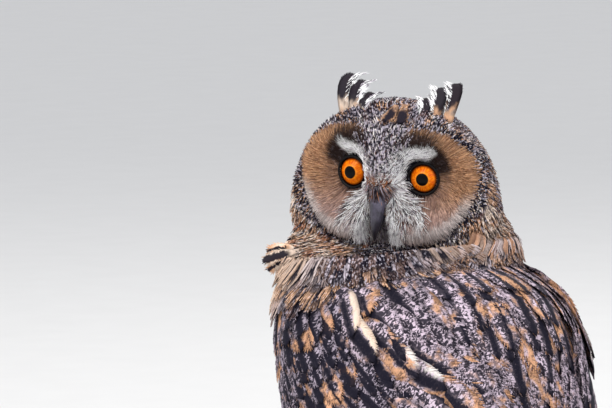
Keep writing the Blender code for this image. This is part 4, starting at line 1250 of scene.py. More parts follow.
def lay_ruff():
    coat = Coat("ruff", SOFT, "face")
    share = disc_share(face_x, face_z)
    rim = (share > 0.97) & (share < 1.24) & (face_front > -8) & ON_HEAD & (np.abs(face_x) > 5)
    rim &= (np.abs(face_x) > 2 + 0.42 * (face_z + 5)) | (face_z < 0)
    rim |= (np.abs(face_x) < 14) & (face_z < -19) & (face_z > -44) & (face_front > 0) & (share > 0.97)
    roots = spread_roots(rim, 1.45)
    x, _, z = in_head(roots)
    from_eye = np.stack((x - np.sign(x) * EYE_X, np.full_like(x, 4.0), z - EYE_Z), -1)
    from_eye[:, 0] *= rise(0, 10, np.abs(x))
    from_eye[:, 2] -= 12 * rise(-16, -24, z)
    ways = from_eye @ head_turn.T
    count = len(roots)
    ground = pick((INK, LILAC, UMBER, PALE), (0.38, 0.28, 0.18, 0.16), count)
    low = (rise(-6, -18, z) * rise(1.16, 1.02, disc_share(x, z)))[:, None]
    ground = blend(ground, INK, low * 0.85)
    marks = (ground, np.zeros(count), 1.0 - low[:, 0] * 0.7)
    soft_feathers(coat, roots, 4.2, 2.0, 3, steps=3, depth=1.0, lift=0.9, marks=marks, ways=ways)
    return coat.make()


lay_trim()
lay_wedge()
lay_chin()
lay_ruff()

# %% [markdown]
# ## Firm feathers
# Wing, shoulder and tail feathers are vanes with a shaft, laid in tiers over the tube. Loose
# barbs along both edges soften them. Each carries its ground and patch colours, the width of
# its dark streak, and how strongly cross lines and bars mark it.

# %% A tier of firm feathers
VANE_STEPS = 9
VANE_SHARE = np.linspace(0, 1, VANE_STEPS)
VANE_OUTLINE = np.interp(VANE_SHARE, (0, 0.15, 0.4, 0.75, 0.9, 1), (0.35, 0.75, 1, 0.98, 0.78, 0.3))
BARB_LEAN = math.radians(34)


class Look:
    """How the feathers of one tier are marked."""

    def __init__(self, ground, warm, streak, lines, bars, patch, rim=CREAM):
        self.ground, self.warm, self.streak, self.lines, self.bars = ground, warm, streak, lines, bars
        self.patch, self.rim, self.one_side = patch, rim, 0.0


def column(values, count):
    return np.broadcast_to(np.reshape(values, (-1, 1)), (count, 1))


def firm_feathers(coat, middle, out, half_width, look, tilt=0.0, thick=0.5, barbs=16, fluff=1.0,
                  outline=VANE_OUTLINE):
    """Vanes along middle lines, each with loose barbs along its edges."""
    count = len(middle)
    run = unit(np.gradient(middle, axis=1))
    across = unit(np.cross(out, run))
    out = unit(out + across * np.broadcast_to(tilt, count)[:, None, None])
    across = unit(np.cross(out, run))
    half_width = np.broadcast_to(half_width, count) * draw.uniform(0.92, 1.08, count)
    wide = half_width[:, None] * outline
    patch = look.patch + draw.normal(0, 0.2, count)
    streak = look.streak * draw.uniform(0.35, 1.45, count)
    station, angle = on_tube(middle[:, 0])
    home = unwrap(middle[:, 0], station, angle)
    ground = look.ground * draw.uniform(0.82, 1.12, (count, 1))
    warm = look.warm * draw.uniform(0.82, 1.1, (count, 1))
    seed = draw.random(count)
    shades = {
        "tint": ground,
        "warm": warm,
        "rim": np.concatenate((np.broadcast_to(look.rim, (count, 3)), column(look.one_side, count)), 1),
        "traits": np.stack((streak, np.full(count, look.lines), seed, np.full(count, look.bars)), -1),
    }

    def spots(share):
        steps = len(share)
        values = np.stack((half_width, patch), -1)[:, None]
        values = np.broadcast_to(values, (count, steps, 2))
        return np.concatenate((np.broadcast_to(share[None, :, None], (count, steps, 1)), values), -1)

    coat.lay(middle, out, wide, thick, home, VANE_RING, 0.012, 0.08, spot=spots(VANE_SHARE), **shades)
    length = np.linalg.norm(np.diff(middle, axis=1), axis=-1)
    down = np.concatenate((np.zeros((count, 1)), np.cumsum(length, 1)), 1)
    for side in (1, -1):
        for place in np.linspace(0.34, 0.985, barbs):
            spot = place * (VANE_STEPS - 1)
            low = min(int(spot), VANE_STEPS - 2)
            part = spot - low
            here = blend(middle[:, low], middle[:, low + 1], part)
            width = blend(wide[:, low], wide[:, low + 1], part)
            lean = BARB_LEAN * np.interp(place, (0.75, 1), (1, 0.3)) + draw.normal(0, 0.08, count)
            sideways = across[:, low] * side
            way = run[:, low] * np.cos(lean)[:, None] + sideways * np.sin(lean)[:, None]
            start = here + sideways * (width * 0.6)[:, None] - out[:, low] * (0.03 * width)[:, None]
            reach = (width * 0.4 + draw.uniform(0.0, 0.7, count) * fluff) / np.sin(BARB_LEAN) * 0.8
            share = np.array((0, 0.5, 1.0))
            strand = start[:, None] + way[:, None] * (reach[:, None] * share)[..., None]
            strand -= out[:, low][:, None] * (0.06 * width[:, None] * share**2)[..., None]
            strand_out = np.broadcast_to(out[:, low][:, None], strand.shape)
            sideways_mm = side * (width[:, None] * 0.6 + np.sin(lean)[:, None] * reach[:, None] * share)
            down_mm = blend(down[:, low], down[:, low + 1], part)[:, None] + reach[:, None] * share
            lie = np.stack((sideways_mm, down_mm), -1)
            half = np.array((0.45, 0.5, 0.12))[None] * np.clip(width / 8, 0.5, 1)[:, None]
            coat.lay(strand, strand_out, half, 0.2, home, STRAND, 0.006, lie=lie,
                     spot=spots(np.full(3, place)), **shades)


def tube_lines(station, angle, height):
    """Middle lines from stations, angles and heights with a column for each step."""
    return body_at(station, angle, height), body_out(station, angle)


def wing_tier(coat, side, count, root, tip, half_width, look, tilt=0.1, steps=VANE_SHARE, jitter=0.02):
    """root and tip give the station, the share across the wing and the height, for 0 to 1."""
    share = np.linspace(0, 1, count)
    a = [np.broadcast_to(v, count) for v in root(share)]
    b = [np.broadcast_to(v, count) for v in tip(share)]
    nudge = draw.normal(0, jitter, count)
    station = blend(a[0][:, None], (b[0] + nudge)[:, None], steps)
    across = blend(a[1][:, None], b[1][:, None], steps)
    angle = wing_angle(station, across)
    wide = np.broadcast_to(half_width(share), count)
    room = np.degrees(np.arcsin(np.clip((wide[:, None] * 0.9) / along(STATIONS, station)[..., 2], 0, 0.99)))
    angle = side * np.maximum(angle, room)
    height = blend(a[2][:, None], b[2][:, None], steps**0.8)
    middle, out = tube_lines(station, angle, height)
    firm_feathers(coat, middle, out, wide, look, tilt * side)


# %% [markdown]
# ## The folded wings
# From below up: the long primaries, the secondaries over them, then the great, median and
# lesser coverts, each tier over the roots of the last. The long feathers are barred, and the
# coverts are dark with frosted cross lines and warm patches.

# %% Lay the wings
GROUND_GREY = tone(206, 188, 202)
GROUND_BROWN = tone(176, 148, 124)
ORANGE = tone(218, 166, 130)
PRIMARY = Look(GROUND_BROWN, BUFF, 0.5, 0.35, 0.95, 0.35)
SECONDARY = Look(GROUND_BROWN, BUFF, 0.5, 0.5, 0.85, 0.3)
GREAT_COVERT = Look(GROUND_GREY, ORANGE, 1.1, 0.95, 0.3, 0.34)
MEDIAN_COVERT = Look(GROUND_GREY, ORANGE, 1.4, 0.95, 0.2, 0.32)
LESSER_COVERT = Look(tone(164, 152, 166), ORANGE, 1.6, 0.98, 0.0, 0.2)


def lay_wing(side, word):
    coat = Coat("wing_" + word + "_vanes", VANE, "back_feathers")
    wing_tier(coat, side, 10,
              lambda k: (5.3, blend(0.12, 0.46, k), blend(1.9, 5.4, k)),
              lambda k: (9.45 - 1.7 * k**1.2, blend(0.10, 0.50, k), blend(1.2, 5.9, k)),
              lambda k: blend(7.0, 10.0, k), PRIMARY, 0.1)
    wing_tier(coat, side, 12,
              lambda k: (blend(4.2, 3.9, k), blend(0.24, 0.82, k), blend(4.8, 3.6, k)),
              lambda k: (blend(6.5, 7.5, k), blend(0.26, 0.76, k), blend(6.0, 8.4, k)),
              lambda k: 11.0, SECONDARY, 0.12)
    wing_tier(coat, side, 8,
              lambda k: (blend(3.3, 3.7, k), blend(0.03, 0.24, k), 4.4),
              lambda k: (blend(5.0, 5.8, k), blend(0.02, 0.22, k), blend(4.4, 6.0, k)),
              lambda k: 8.5, GREAT_COVERT, 0.1)
    wing_tier(coat, side, 11,
              lambda k: (blend(3.7, 3.5, k), blend(0.18, 0.98, k), blend(5.8, 4.0, k)),
              lambda k: (blend(5.2, 5.6, k), blend(0.18, 0.96, k), blend(7.8, 7.2, k)),
              lambda k: 11, GREAT_COVERT, 0.12)
    wing_tier(coat, side, 12,
              lambda k: (blend(3.0, 2.9, k), blend(0.04, 0.98, k), blend(6.0, 5.0, k)),
              lambda k: (blend(4.35, 4.6, k), blend(0.03, 0.96, k), blend(8.4, 7.6, k)),
              lambda k: 9.5, MEDIAN_COVERT, 0.12, jitter=0.06)
    for row in range(6):
        start = 1.72 + 0.26 * (5 - row)
        count = 15 - row % 2

        def root(k, start=start):
            t = blend(0.02, 1.0, k)
            station = start + 1.1 * (t - WRIST_AT) ** 2
            return station, t, wing_height(station, t) - 2.2

        def tip(k, start=start):
            t = blend(0.02, 1.0, k)
            station = start + 1.1 * (t - WRIST_AT) ** 2 + 0.72
            return station, t, wing_height(station, t) + 0.6

        wing_tier(coat, side, count, root, tip, lambda k: 6.8, LESSER_COVERT, 0.1, jitter=0.08)
    return coat.make("wing_" + word)


for side, word in SIDES:
    lay_wing(side, word)

# %% [markdown]
# ## The shoulders
# The scapulars drape from the back over the top of each wing. The outermost have cream outer
# edges, which draw a pale line down the shoulder.

# %% Lay the scapulars
SHOULDER_EDGE = np.array((
    (1.9, 80), (2.24, 82), (2.7, 77), (3.0, 71), (3.25, 64),
    (3.5, 59), (3.8, 48), (4.3, 38), (5.4, 25), (6.2, 18),
), float)
SCAPULAR = Look(GROUND_GREY, ORANGE, 1.6, 0.95, 0.0, 0.17)
OUTER_SCAPULAR = Look(GROUND_GREY, ORANGE, 1.8, 0.95, 0.0, 0.1)
CREAM_ROWS, WHITE_TIP_ROWS = 2, 4
SCAPULAR_ROWS = 10


def shoulder_edge(station):
    """The angle of the scapulars' outer edge."""
    return np.interp(station, SHOULDER_EDGE[:, 0], SHOULDER_EDGE[:, 1])


def clear_height(station, angle):
    """The height that clears the wing, or the body where no wing is under it."""
    low, high = wing_edges(station)
    share = (angle - low) / (high - low)
    over_wing = wing_height(station, share) + 1.2 + 2.4 * rise(3.8, 5.0, station)
    over_body = 1.2 + 4.0 * np.maximum(0, 1 - (high - angle) / 10)
    return np.where(share <= 1, over_wing, over_body)


def lay_shoulder(side, word):
    coat = Coat("scapulars_" + word + "_vanes", VANE, "back_feathers")
    tip_lift = 1.9 if side > 0 else 4.2
    for row in reversed(range(SCAPULAR_ROWS)):
        root_station = 1.75 + 0.33 * row
        reach = 1.0 + 0.07 * row
        count = 7 if row < 4 else 6
        OUTER_SCAPULAR.rim = CREAM if row < CREAM_ROWS else PALE
        pale = 0.9 if row < CREAM_ROWS else 0.75 if row < WHITE_TIP_ROWS else 0.0
        place = (np.linspace(0, 1, count) + (0.5 * (row % 2)) / count) / (1 + 0.5 / count)
        for outer in (False, True):
            chosen = place[-1:] if outer else place[:-1]
            start = root_station + 0.2 * outer
            look = OUTER_SCAPULAR if outer else SCAPULAR
            look.one_side = side * pale if outer else 0.0
            if not outer:
                chosen = np.clip(chosen + draw.normal(0, 0.25 / count, len(chosen)), 0, 0.9)
            tip_station = start + reach * (0.85 if outer else 1.0)
            loose = 0.0 if outer else 1.0
            tip_angle = blend(5, shoulder_edge(tip_station) - 6, chosen)[:, None]
            root_angle = blend(4, shoulder_edge(start) - 8 - 3 * outer, chosen)[:, None]
            nudge = draw.normal(0, 0.07, (len(chosen), 1)) * loose
            station = blend(start, tip_station + nudge, VANE_SHARE[None])
            swing = draw.normal(0, 1.5, (len(chosen), 1)) * loose
            angle = blend(root_angle, tip_angle + swing, VANE_SHARE[None])
            angle = np.maximum(angle, np.degrees(7.5 / along(STATIONS, station)[..., 2]))
            height = clear_height(station, angle) + blend(-2.0, tip_lift, VANE_SHARE[None] ** 0.7)
            middle, out = tube_lines(station, side * angle, height)
            firm_feathers(coat, middle, out, blend(8.5, 10.0, chosen) - 1.5 * outer, look, -0.1 * side,
                          fluff=0.3 if outer else 1.0, barbs=30 if outer else 16)
        if side > 0:
            station = blend(root_station - 0.1, root_station + 0.9 * reach, VANE_SHARE)[None]
            height = clear_height(station, 5) + blend(-1.0, 3.0, VANE_SHARE[None] ** 0.7)
            middle, out = tube_lines(station, 5.0 * (-1) ** row + 0 * station, height)
            SCAPULAR.one_side = 0.0
            firm_feathers(coat, middle, out, 9.0, SCAPULAR)
    return coat.make("scapulars_" + word)


for side, word in SIDES:
    lay_shoulder(side, word)

# %% [markdown]
# ## The tail
# Twelve tail feathers fan a little from the rump, the middle pair on top. They lie flat, so
# their middle lines are straight lines spread by a small angle.

# %% Lay the tail
TAIL_PAIRS = 6
TAIL_START, TAIL_END, TAIL_STEP, TAIL_HALF_WIDTH = 7.15, 9.3, 1.25, 11.5
TAIL_LOOK = Look(GROUND_BROWN, BUFF, 0.5, 0.4, 1.0, 0.35)


def lay_tail():
    coat = Coat("tail_vanes", VANE, "back_feathers")
    rows = along(STATIONS, np.array((TAIL_START, TAIL_END)))
    start, end = np.array((0, *rows[0, :2])), np.array((0, *rows[1, :2]))
    length = np.linalg.norm(end - start)
    run = unit(end - start)
    up = np.array((0, -run[2], run[1]))
    lines = []
    for pair in reversed(range(TAIL_PAIRS)):
        for side in (-1, 1):
            lean = side * math.atan((TAIL_HALF_WIDTH - 2.5 + 3.8 * pair) / length)
            way = run * math.cos(lean) + np.array((1, 0, 0)) * math.sin(lean)
            line = start + way * (length * (1 - 0.006 * pair**2) * VANE_SHARE[:, None])
            level = 2.4 - TAIL_STEP * pair + side * 0.45 - 0.004 * line[:, :1] ** 2
            lines.append(line + up * level)
    middle = np.array(lines)
    out = np.broadcast_to(up, middle.shape)
    firm_feathers(coat, middle, out, TAIL_HALF_WIDTH, TAIL_LOOK, 0.0, 0.8, 14)
    for row in range(3):
        angle = np.linspace(-65, 65, 9)[:, None] + 4 * (row % 2)
        station = blend(6.0 + 0.35 * row, 7.3 + 0.35 * row, VANE_SHARE[None])
        middle, out = tube_lines(station, angle, blend(0.5, 3.0, VANE_SHARE[None]))
        firm_feathers(coat, middle, out, 6.5, SECONDARY)
        middle, out = tube_lines(station, 180 + angle * 1.1, blend(-1.0, 1.6, VANE_SHARE[None]))
        firm_feathers(coat, middle, out, 6.5, Look(CREAM, BUFF, 0.3, 0.0, 0.0, 0.5))
    return coat.make("tail")


lay_tail()

# %% [markdown]
# ## Ear tufts
# The tufts aren't ears. They are long crown feathers over each eye, black down the middle with
# buff roots and pale, fluffy edges. The owl holds them half raised, leaning back.

# %% Lay the ear tufts
TUFT_LOOK = Look(BUFF * 0.9, CREAM, 30.0, 0.0, 0.0, 0.5, WHITE)
FLUFF_BARBS = 70
TUFT_OUTLINE = np.interp(VANE_SHARE, (0, 0.3, 0.6, 0.82, 0.94, 1), (0.6, 0.85, 1, 0.88, 0.55, 0.15))
TUFT_FEATHERS = (
    (14, -5, 12.5, 3, 38.0, 3.6, 1.6),
    (19.5, -3, 18.5, 6.5, 43.0, 4.6, 1.3),
    (26, -1, 25.5, 9, 45.3, 4.8, 1.0),
)


def lay_fluff(fluff, side, middle, out, half_width, white):
    """Loose pale barbs along the inner edge of one tuft feather."""
    count = int(FLUFF_BARBS * white)
    place = draw.uniform(1.5, VANE_STEPS - 1.3, count)
    low = place.astype(int)
    inward = unit(np.array((-side, 0.15, 0.1)) @ head_turn.T)
    here = blend(middle[low], middle[low + 1], (place - low)[:, None])
    run = unit(middle[low + 1] - middle[low])
    start = here + inward * (half_width * draw.uniform(0.1, 0.8, count))[:, None] + out[low] * 0.35
    way = unit(run * 0.8 + inward * draw.uniform(0.3, 0.9, count)[:, None] + draw.normal(0, 0.1, (count, 3)))
    share = np.array((0, 0.5, 1.0))[None, :, None]
    reach = draw.uniform(1.4, 3.3, count)[:, None, None]
    strand = start[:, None] + (way[:, None] + inward * 0.25 * share) * share * reach
    tint = pick((WHITE, LILAC, INK), (0.66, 0.14, 0.2), count)[:, None] * np.ones((1, 3, 1))
    seed = draw.random(count)
    home = unwrap(start, np.zeros(count), np.zeros(count))
    half = np.array((0.25, 0.22, 0.08))[None] * np.ones((count, 1))
    fluff.lay(strand, np.broadcast_to(out[low][:, None], strand.shape), half, 0.2, home,
              tint=tint, traits=np.stack((seed * 0, seed, seed), -1))


def lay_tuft(side, word):
    """Each feather has x and back of its root and of its tip, its height, half width and white."""
    coat = Coat("ear_tuft_" + word + "_feathers", VANE, "tuft_feathers")
    fluff = Coat("ear_tuft_" + word + "_fluff", SOFT, "tuft_feathers")
    for x0, back0, x1, back1, top, half_width, white in TUFT_FEATHERS:
        TUFT_LOOK.one_side = side * white
        share = VANE_SHARE[None]
        x = blend(x0, x1, share**1.6) + 1.6 * np.sin(np.pi * share)
        back = blend(back0, back1, share**1.5)
        z = blend(27.5, top, np.sin(np.pi / 2 * share) ** 0.9)
        middle = head_at(side * x, -back, z)
        out = np.broadcast_to(np.array((side * 0.3, -0.75, 0.6)) @ head_turn.T, middle.shape)
        run = unit(np.gradient(middle, axis=1))
        out = unit(out - run * dot(out, run)[..., None])
        firm_feathers(coat, middle, out, half_width, TUFT_LOOK, 0.25 * side, 0.45, 26, 0.4, TUFT_OUTLINE)
        lay_fluff(fluff, side, middle[0], out[0], half_width, white)
    fluff.make()
    return coat.make("ear_tuft_" + word)


for side, word in SIDES:
    lay_tuft(side, word)

# %% [markdown]
# ## A few odd feathers
# A real coat is never quite in order. Two buff feathers with dark middles lie on the crown, and
# three loose ones stand off at the neck's left edge, as the camera sees it. Each is placed one
# by one, by its root and its direction.

# %% Lay a few odd feathers
STRAY_SAG = 2.5
CROWN_MARK = ((1.5, 32.0, -10), (5.5, 32.0, 8))
STRAY_FEATHERS = ((1.12, 112, 12, 0.1), (1.18, 108, 15, -0.1), (1.24, 112, 12, -0.35))


def lay_odd_feathers():
    """Buff crown feathers with dark middles, and neck feathers that stand off at the left."""
    coat = Coat("odd_feathers", VANE, "body_feathers")
    mark = Look(BUFF, BUFF, 2.2, 0.5, 0.0, 0.3)
    for x, z, lean in CROWN_MARK:
        root = head_at(x, 0.0, z)
        way = np.array((math.sin(math.radians(lean)), -1.0, -0.3)) @ head_turn.T
        line, out = nearest(root + unit(way) * (12.0 * VANE_SHARE[:, None]))
        middle = line + out * blend(-0.4, 2.0, VANE_SHARE)[:, None]
        firm_feathers(coat, middle[None], out[None], 2.9, mark, 0.0, 0.3, 16, 2.0, TUFT_OUTLINE)
    stray = Look(BUFF, CREAM, 1.5, 0.0, 0.0, 0.5)
    leftwards = np.array((0.766, -0.643, 0.0))
    for station, angle, length, climb in STRAY_FEATHERS:
        root = body_at(np.array([station]), np.array([angle]), -4.0)
        way = unit(leftwards + np.array((0, 0, climb)))
        sag = np.array((0, 0, STRAY_SAG)) * VANE_SHARE[:, None] ** 2
        middle = root + way * (length * VANE_SHARE[:, None]) - sag
        out = unit(np.array((0.64, 0.77, 0.3)) + 0 * middle)
        firm_feathers(coat, middle[None], out[None], 2.8, stray, 0.0, 0.3, 16, 2.0)
    return coat.make()


lay_odd_feathers()

# %% [markdown]
# ## The skin
# The form is drawn in by the coat's depth, thin on the face and thick on the body, and tinted
# with the same markings, darkened as painted shade, so that a gap between feathers shows
# nothing odd.

# %% Draw in and tint the skin


def finish_skin():
    mesh = skin.data
    normals = np.empty(len(mesh.vertices) * 3, np.float32)
    mesh.vertices.foreach_get("normal", normals)
    normals = normals.reshape(-1, 3)
    station, angle = on_tube(form_points)
    x, forward, z = in_head(form_points)
    on_head = rise(-46, -34, z)
    depth = blend(3.2, 1.3, on_head)
    depth = np.where(on_leg(form_points, station), 1.2, depth)
    moved = (form_points + SHIFT - normals * depth[:, None]) * MM
    moved[:, 2] = np.maximum(moved[:, 2], 0.0)
    mesh.vertices.foreach_set("co", moved.astype(np.float32).ravel())
    ground, _, pepper = coat_markings(form_points, station, angle)
    in_face = ((forward > 2) & (z > -36) & (disc_share(x, z) < 1.1))[:, None]
    # painted shade: the skin's tint is the markings darkened to 0.6, as the gaps between feathers lie in
    # shade
    ground = np.where(in_face, face_tint(x, z, np.full(len(x), 0.5)), ground) * 0.6
    for name, values in (("tint", ground), ("traits", np.repeat(pepper[:, None] * 0.5, 3, 1))):
        put_colours(mesh, name, values)
    loops = np.empty(len(mesh.loops), np.int32)
    mesh.loops.foreach_get("vertex_index", loops)
    put_map(mesh, "OFBake", unwrap(form_points, station, angle)[loops])
    mesh.update()
    mesh.materials.clear()
    mesh.materials.append(SOFT)
    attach(skin, "root")
    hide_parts("head", *FLESH)


finish_skin()
print("skin has", len(skin.data.polygons), "faces")

# %% [markdown]
# ## Eyes
# A long-eared owl's iris is deep orange, with fine fibres that run out from the pupil and a
# black rim. The eyeball is a ball with a clear bulge in front, whose gloss is a coat on the
# shader. Each point of it carries its place across the eye, so the pattern turns with it.

# %% Make the eyes and their lids
IRIS_RADIUS, PUPIL_RADIUS, CORNEA_RISE, OFF_THE_DIAL = 6.3, 3.0, 1.0, 20.0
LID_HALF_THICKNESS, CORNER_PULL, CORNER_TURN = 0.65, 2.6, math.radians(204)


def iris_finish():
    finish = Finish("iris", Roughness=0.3, Specular_IOR_Level=0.03, Coat_Weight=0.12, Coat_Roughness=0.02)
    dial = finish.tint("dial")
    x, y = finish.part(dial, 0), finish.part(dial, 1)
    r = finish.add("ShaderNodeVectorMath", {"operation": "LENGTH"}, {0: finish.vector(x, y, 0.0)}, 1)
    around = finish.vector(x / r * 7.0, y / r * 7.0, r * 0.5)
    fibre = finish.noise(around, 1.0, 3.0, 0.4)
    blot = finish.noise(finish.vector(x, y, 0.0), 0.45, 2.0)
    colour = finish.mix(tone(214, 88, 4), tone(248, 134, 12), fibre.rise(0.36, 0.66))
    colour = finish.mix(colour, tone(170, 60, 4), blot.rise(0.52, 0.75) * 0.4)
    colour = finish.mix(colour, tone(250, 168, 50), r.rise(PUPIL_RADIUS + 1.2, PUPIL_RADIUS) * 0.4)
    colour = finish.mix(colour, tone(80, 28, 6), r.rise(IRIS_RADIUS - 1.1, IRIS_RADIUS - 0.1) * 0.85)
    black = tone(8, 6, 6)
    colour = finish.mix(colour, black, r.rise(PUPIL_RADIUS + 0.12, PUPIL_RADIUS - 0.12))
    colour = finish.mix(colour, black, r.rise(IRIS_RADIUS - 0.2, IRIS_RADIUS + 0.1))
    finish.feed("Base Color", colour)
    return finish.material


def lid_finish():
    finish = Finish("lid skin", Roughness=0.5, Specular_IOR_Level=0.15)
    wrinkle = finish.noise(finish.place(), 1400, 3.0)
    finish.feed("Base Color", finish.mix(tone(6, 5, 7), tone(20, 18, 22), wrinkle.rise(0.4, 0.75)))
    finish.bump(wrinkle, 0.4, 0.0003)
    return finish.material


IRIS, LID = iris_finish(), lid_finish()


def out_of_eye(side, local):
    """Points given across, up and forward in an eye, in the bird's own frame."""
    splay = math.radians(EYE_SPLAY) * side
    middle = head_at(side * EYE_X, EYE_FORWARD, EYE_Z)
    forward = np.array((math.sin(splay), -math.cos(splay), 0)) @ head_turn.T
    up = np.array((0, 0, 1.0)) @ head_turn.T
    across = np.cross(up, forward)
    return middle + local[:, :1] * across + local[:, 1:2] * up + local[:, 2:] * forward


def seat(piece, name, material, slot, points, *replaced):
    """Puts a new piece's points in place, smooths its shading and gives it its finish."""
    piece.name = name
    piece.data.vertices.foreach_set("co", ((points + SHIFT) * MM).astype(np.float32).ravel())
    piece.location, piece.rotation_euler = (0, 0, 0), (0, 0, 0)
    face_outwards(piece)
    bpy.ops.object.shade_smooth()
    piece.data.materials.clear()
    piece.data.materials.append(material)
    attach(piece, "root")
    if replaced:
        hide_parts(*replaced)
    return piece


def make_eye(side, word):
    bpy.ops.object.select_all(action="DESELECT")
    bpy.ops.mesh.primitive_uv_sphere_add(segments=72, ring_count=60, radius=1)
    ball = bpy.context.active_object
    local = np.array([v.co for v in ball.data.vertices]) * EYE_RADIUS
    r = np.hypot(local[:, 0], local[:, 1])
    front = local[:, 2] > 0
    local[:, 2] += np.where(front, CORNEA_RISE * rise(IRIS_RADIUS + 0.6, 2.0, r), 0)
    away = np.where(front, 0, OFF_THE_DIAL)
    put_colours(ball.data, "dial", np.stack((local[:, 0] + away, local[:, 1], local[:, 2]), -1))
    seat(ball, "eyeball_" + word, IRIS, "eye", out_of_eye(side, local), "eye_" + word)
    bpy.ops.object.select_all(action="DESELECT")
    bpy.ops.mesh.primitive_torus_add(
        major_segments=72, minor_segments=14, major_radius=LID_RADIUS, minor_radius=LID_HALF_THICKNESS
    )
    ring = bpy.context.active_object
    local = np.array([v.co for v in ring.data.vertices])
    turn = np.arctan2(local[:, 1], local[:, 0] * side)
    off = np.angle(np.exp(1j * (turn - CORNER_TURN)))
    pull = CORNER_PULL * np.exp(-((off / 0.3) ** 2))
    local[:, :2] *= 1 + (pull / LID_RADIUS)[:, None]
    local[:, 2] += math.sqrt((EYE_RADIUS + 1.0) ** 2 - LID_RADIUS**2) - pull * 0.45
    seat(ring, "lids_" + word, LID, "eye", out_of_eye(side, local))


for side, word in SIDES:
    make_eye(side, word)

# %% [markdown]
# ## Bill and claws
# These are horn: dark, with faint lines along their length, and a clear coat gives them a
# real sheen. The bill turns a lighter, bluish grey towards its top: partly its paler base and
# partly a painted sheen on its ridge. Their packed shapes are right but coarse, so a merged
# copy of each is remeshed finely and smoothed, and nostrils are pressed into the upper bill.

# %% Make the bill and the claws
HORN_SMOOTHING, BILL_VOXEL, CLAW_VOXEL = 8, 0.4, 0.45
NOSTRIL_X, NOSTRIL_Z, NOSTRIL_FROM_FRONT, NOSTRIL_DEPTH = 3.4, -7.0, 7.5, 0.9


def horn_finish(name, dark, light, low=-1.0, high=-0.5):
    finish = Finish(name, Roughness=0.3, Specular_IOR_Level=0.35, Coat_Weight=0.35, Coat_Roughness=0.2)
    place = finish.place()
    cloud = finish.noise(place, 160, 2.0)
    grain = finish.noise(place, 1100, 2.0)
    # Light clouds grow towards the top: on the bill partly its paler base and partly a painted sheen on its
    # ridge. For the claws, the default low and high lie under them, so the clouds cover them all over.
    above = finish.part(place, 2).rise(low, high)
    colour = finish.mix(dark, light, cloud.rise(0.25, 0.6) * above)
    finish.feed("Base Color", finish.mix(colour, dark, grain.rise(0.45, 0.7) * 0.4))
    finish.feed("Roughness", cloud * 0.25 + 0.2)
    finish.bump(grain, 0.25, 0.0002)
    return finish.material


BILL_LOW, BILL_HIGH = (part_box("bill_upper")[k][2] for k in (0, 1))
# The bill lightens from its lower edge up to this height: partly its paler base, partly a painted sheen.
PALE_BASE_AND_SHEEN_FROM = blend(BILL_LOW, BILL_HIGH, 0.8)
BILL_HORN = horn_finish("bill horn", tone(12, 11, 18), tone(104, 98, 118), BILL_LOW, PALE_BASE_AND_SHEEN_FROM)
CLAW_HORN = horn_finish("claw horn", tone(18, 15, 15), tone(52, 46, 46))


def smooth_copy(nodes, voxel):
    """A fine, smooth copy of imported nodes, and its points in the bird's own frame."""
    bpy.context.view_layer.objects.active = copy_nodes(nodes)[0]
    if len(nodes) > 1:
        bpy.ops.object.join()
    piece = bpy.context.active_object
    melt(piece, voxel, HORN_SMOOTHING)
    return piece, np.array([v.co for v in piece.data.vertices]) / MM - SHIFT


def make_horn():
    piece, points = smooth_copy(("bill_upper",), BILL_VOXEL)
    x, forward, z = in_head(points)
    from_nostril = forward - (forward.max() - NOSTRIL_FROM_FRONT)
    for side in (1, -1):
        away = np.stack((x - side * NOSTRIL_X, from_nostril * 0.8, z - NOSTRIL_Z), -1)
        press = NOSTRIL_DEPTH * np.exp(-(dot(away, away) / 1.3))
        points -= (np.array((side, 0, 0.0)) @ head_turn.T) * press[:, None]
    seat(piece, "upper_bill", BILL_HORN, "horn", points, "bill_upper")
    piece, points = smooth_copy(("bill_lower",), BILL_VOXEL)
    seat(piece, "lower_bill", BILL_HORN, "horn", points, "bill_lower")
    claws = tuple("claw_%s_%d" % (word, k) for _, word in SIDES for k in (1, 2, 3, 4))
    piece, points = smooth_copy(claws, CLAW_VOXEL)
    seat(piece, "claws", CLAW_HORN, "horn", points, *claws)


make_horn()
print("bill, claws and eyes are in place")

# %% [markdown]
# ## Floor and light
# The owl stands on a plain pale floor. One large, soft light stands over the camera's left
# shoulder, a weaker one fills the other side, and one from behind picks out the edges. The
# world's own light keeps the shade from going black.

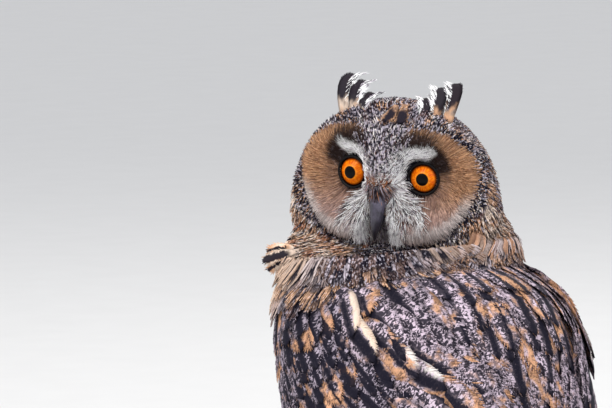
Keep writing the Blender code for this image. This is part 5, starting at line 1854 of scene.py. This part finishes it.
# %% Lay the floor and hang the lights
FLOOR_SIZE, AIM_DROP = 16, 0.08
LIGHTS = (
    ((0.95, 0.15, 1.1), 1.6, 0.9, 17, (1.0, 0.97, 0.93)),
    ((0.1, 1.0, 0.5), 1.8, 1.2, 8, (0.94, 0.97, 1.0)),
    ((-0.9, -0.5, 0.9), 1.8, 0.9, 9, (1.0, 0.98, 0.95)),
)
SKY, SKY_STRENGTH = (0.95, 0.96, 1.0, 1), 0.8


def floor_finish():
    finish = Finish("studio floor", Roughness=0.9)
    grain = finish.noise(finish.place(), 30, 3.0)
    finish.feed("Base Color", finish.mix((0.74, 0.74, 0.73), (0.78, 0.78, 0.77), grain))
    return finish.material


def hang_light(direction, distance, size, power, warmth):
    way = Vector(direction).normalized()
    aim = Vector(HEAD_PLACE + SHIFT) * MM
    aim.z -= AIM_DROP
    bpy.ops.object.light_add(type="AREA", location=aim + way * distance)
    lamp = bpy.context.active_object
    lamp.rotation_euler = way.to_track_quat("Z", "Y").to_euler()
    lamp.data.size = size
    lamp.data.energy = power
    lamp.data.color = warmth


def light_scene():
    bpy.ops.object.select_all(action="DESELECT")
    bpy.ops.mesh.primitive_plane_add(size=FLOOR_SIZE, location=(0, 0, -0.0002))
    floor = bpy.context.active_object
    floor.name = "floor"
    floor.data.materials.append(floor_finish())
    floor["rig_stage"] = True
    for light in LIGHTS:
        hang_light(*light)
    world = bpy.data.worlds.new("studio")
    world.use_nodes = True
    world.node_tree.nodes["Background"].inputs["Color"].default_value = SKY
    world.node_tree.nodes["Background"].inputs["Strength"].default_value = SKY_STRENGTH
    bpy.context.scene.world = world
    bpy.context.scene.view_settings.view_transform = "Standard"


light_scene()

# %% [markdown]
# ## How far the bird stands out
# The dressed bird's box is set against the imported model's box, and how far it stands out on
# each side is printed.

# %% Measure the sizes
sizes = {
    "cad": [list(map(float, corner)) for corner in cad_box],
    "visual": [list(map(float, corner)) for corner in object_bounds()],
}
for axis in range(3):
    low = (sizes["cad"][0][axis] - sizes["visual"][0][axis]) / MM
    high = (sizes["visual"][1][axis] - sizes["cad"][1][axis]) / MM
    print("xyz"[axis], "stands proud by", round(low, 1), "and", round(high, 1), "mm")
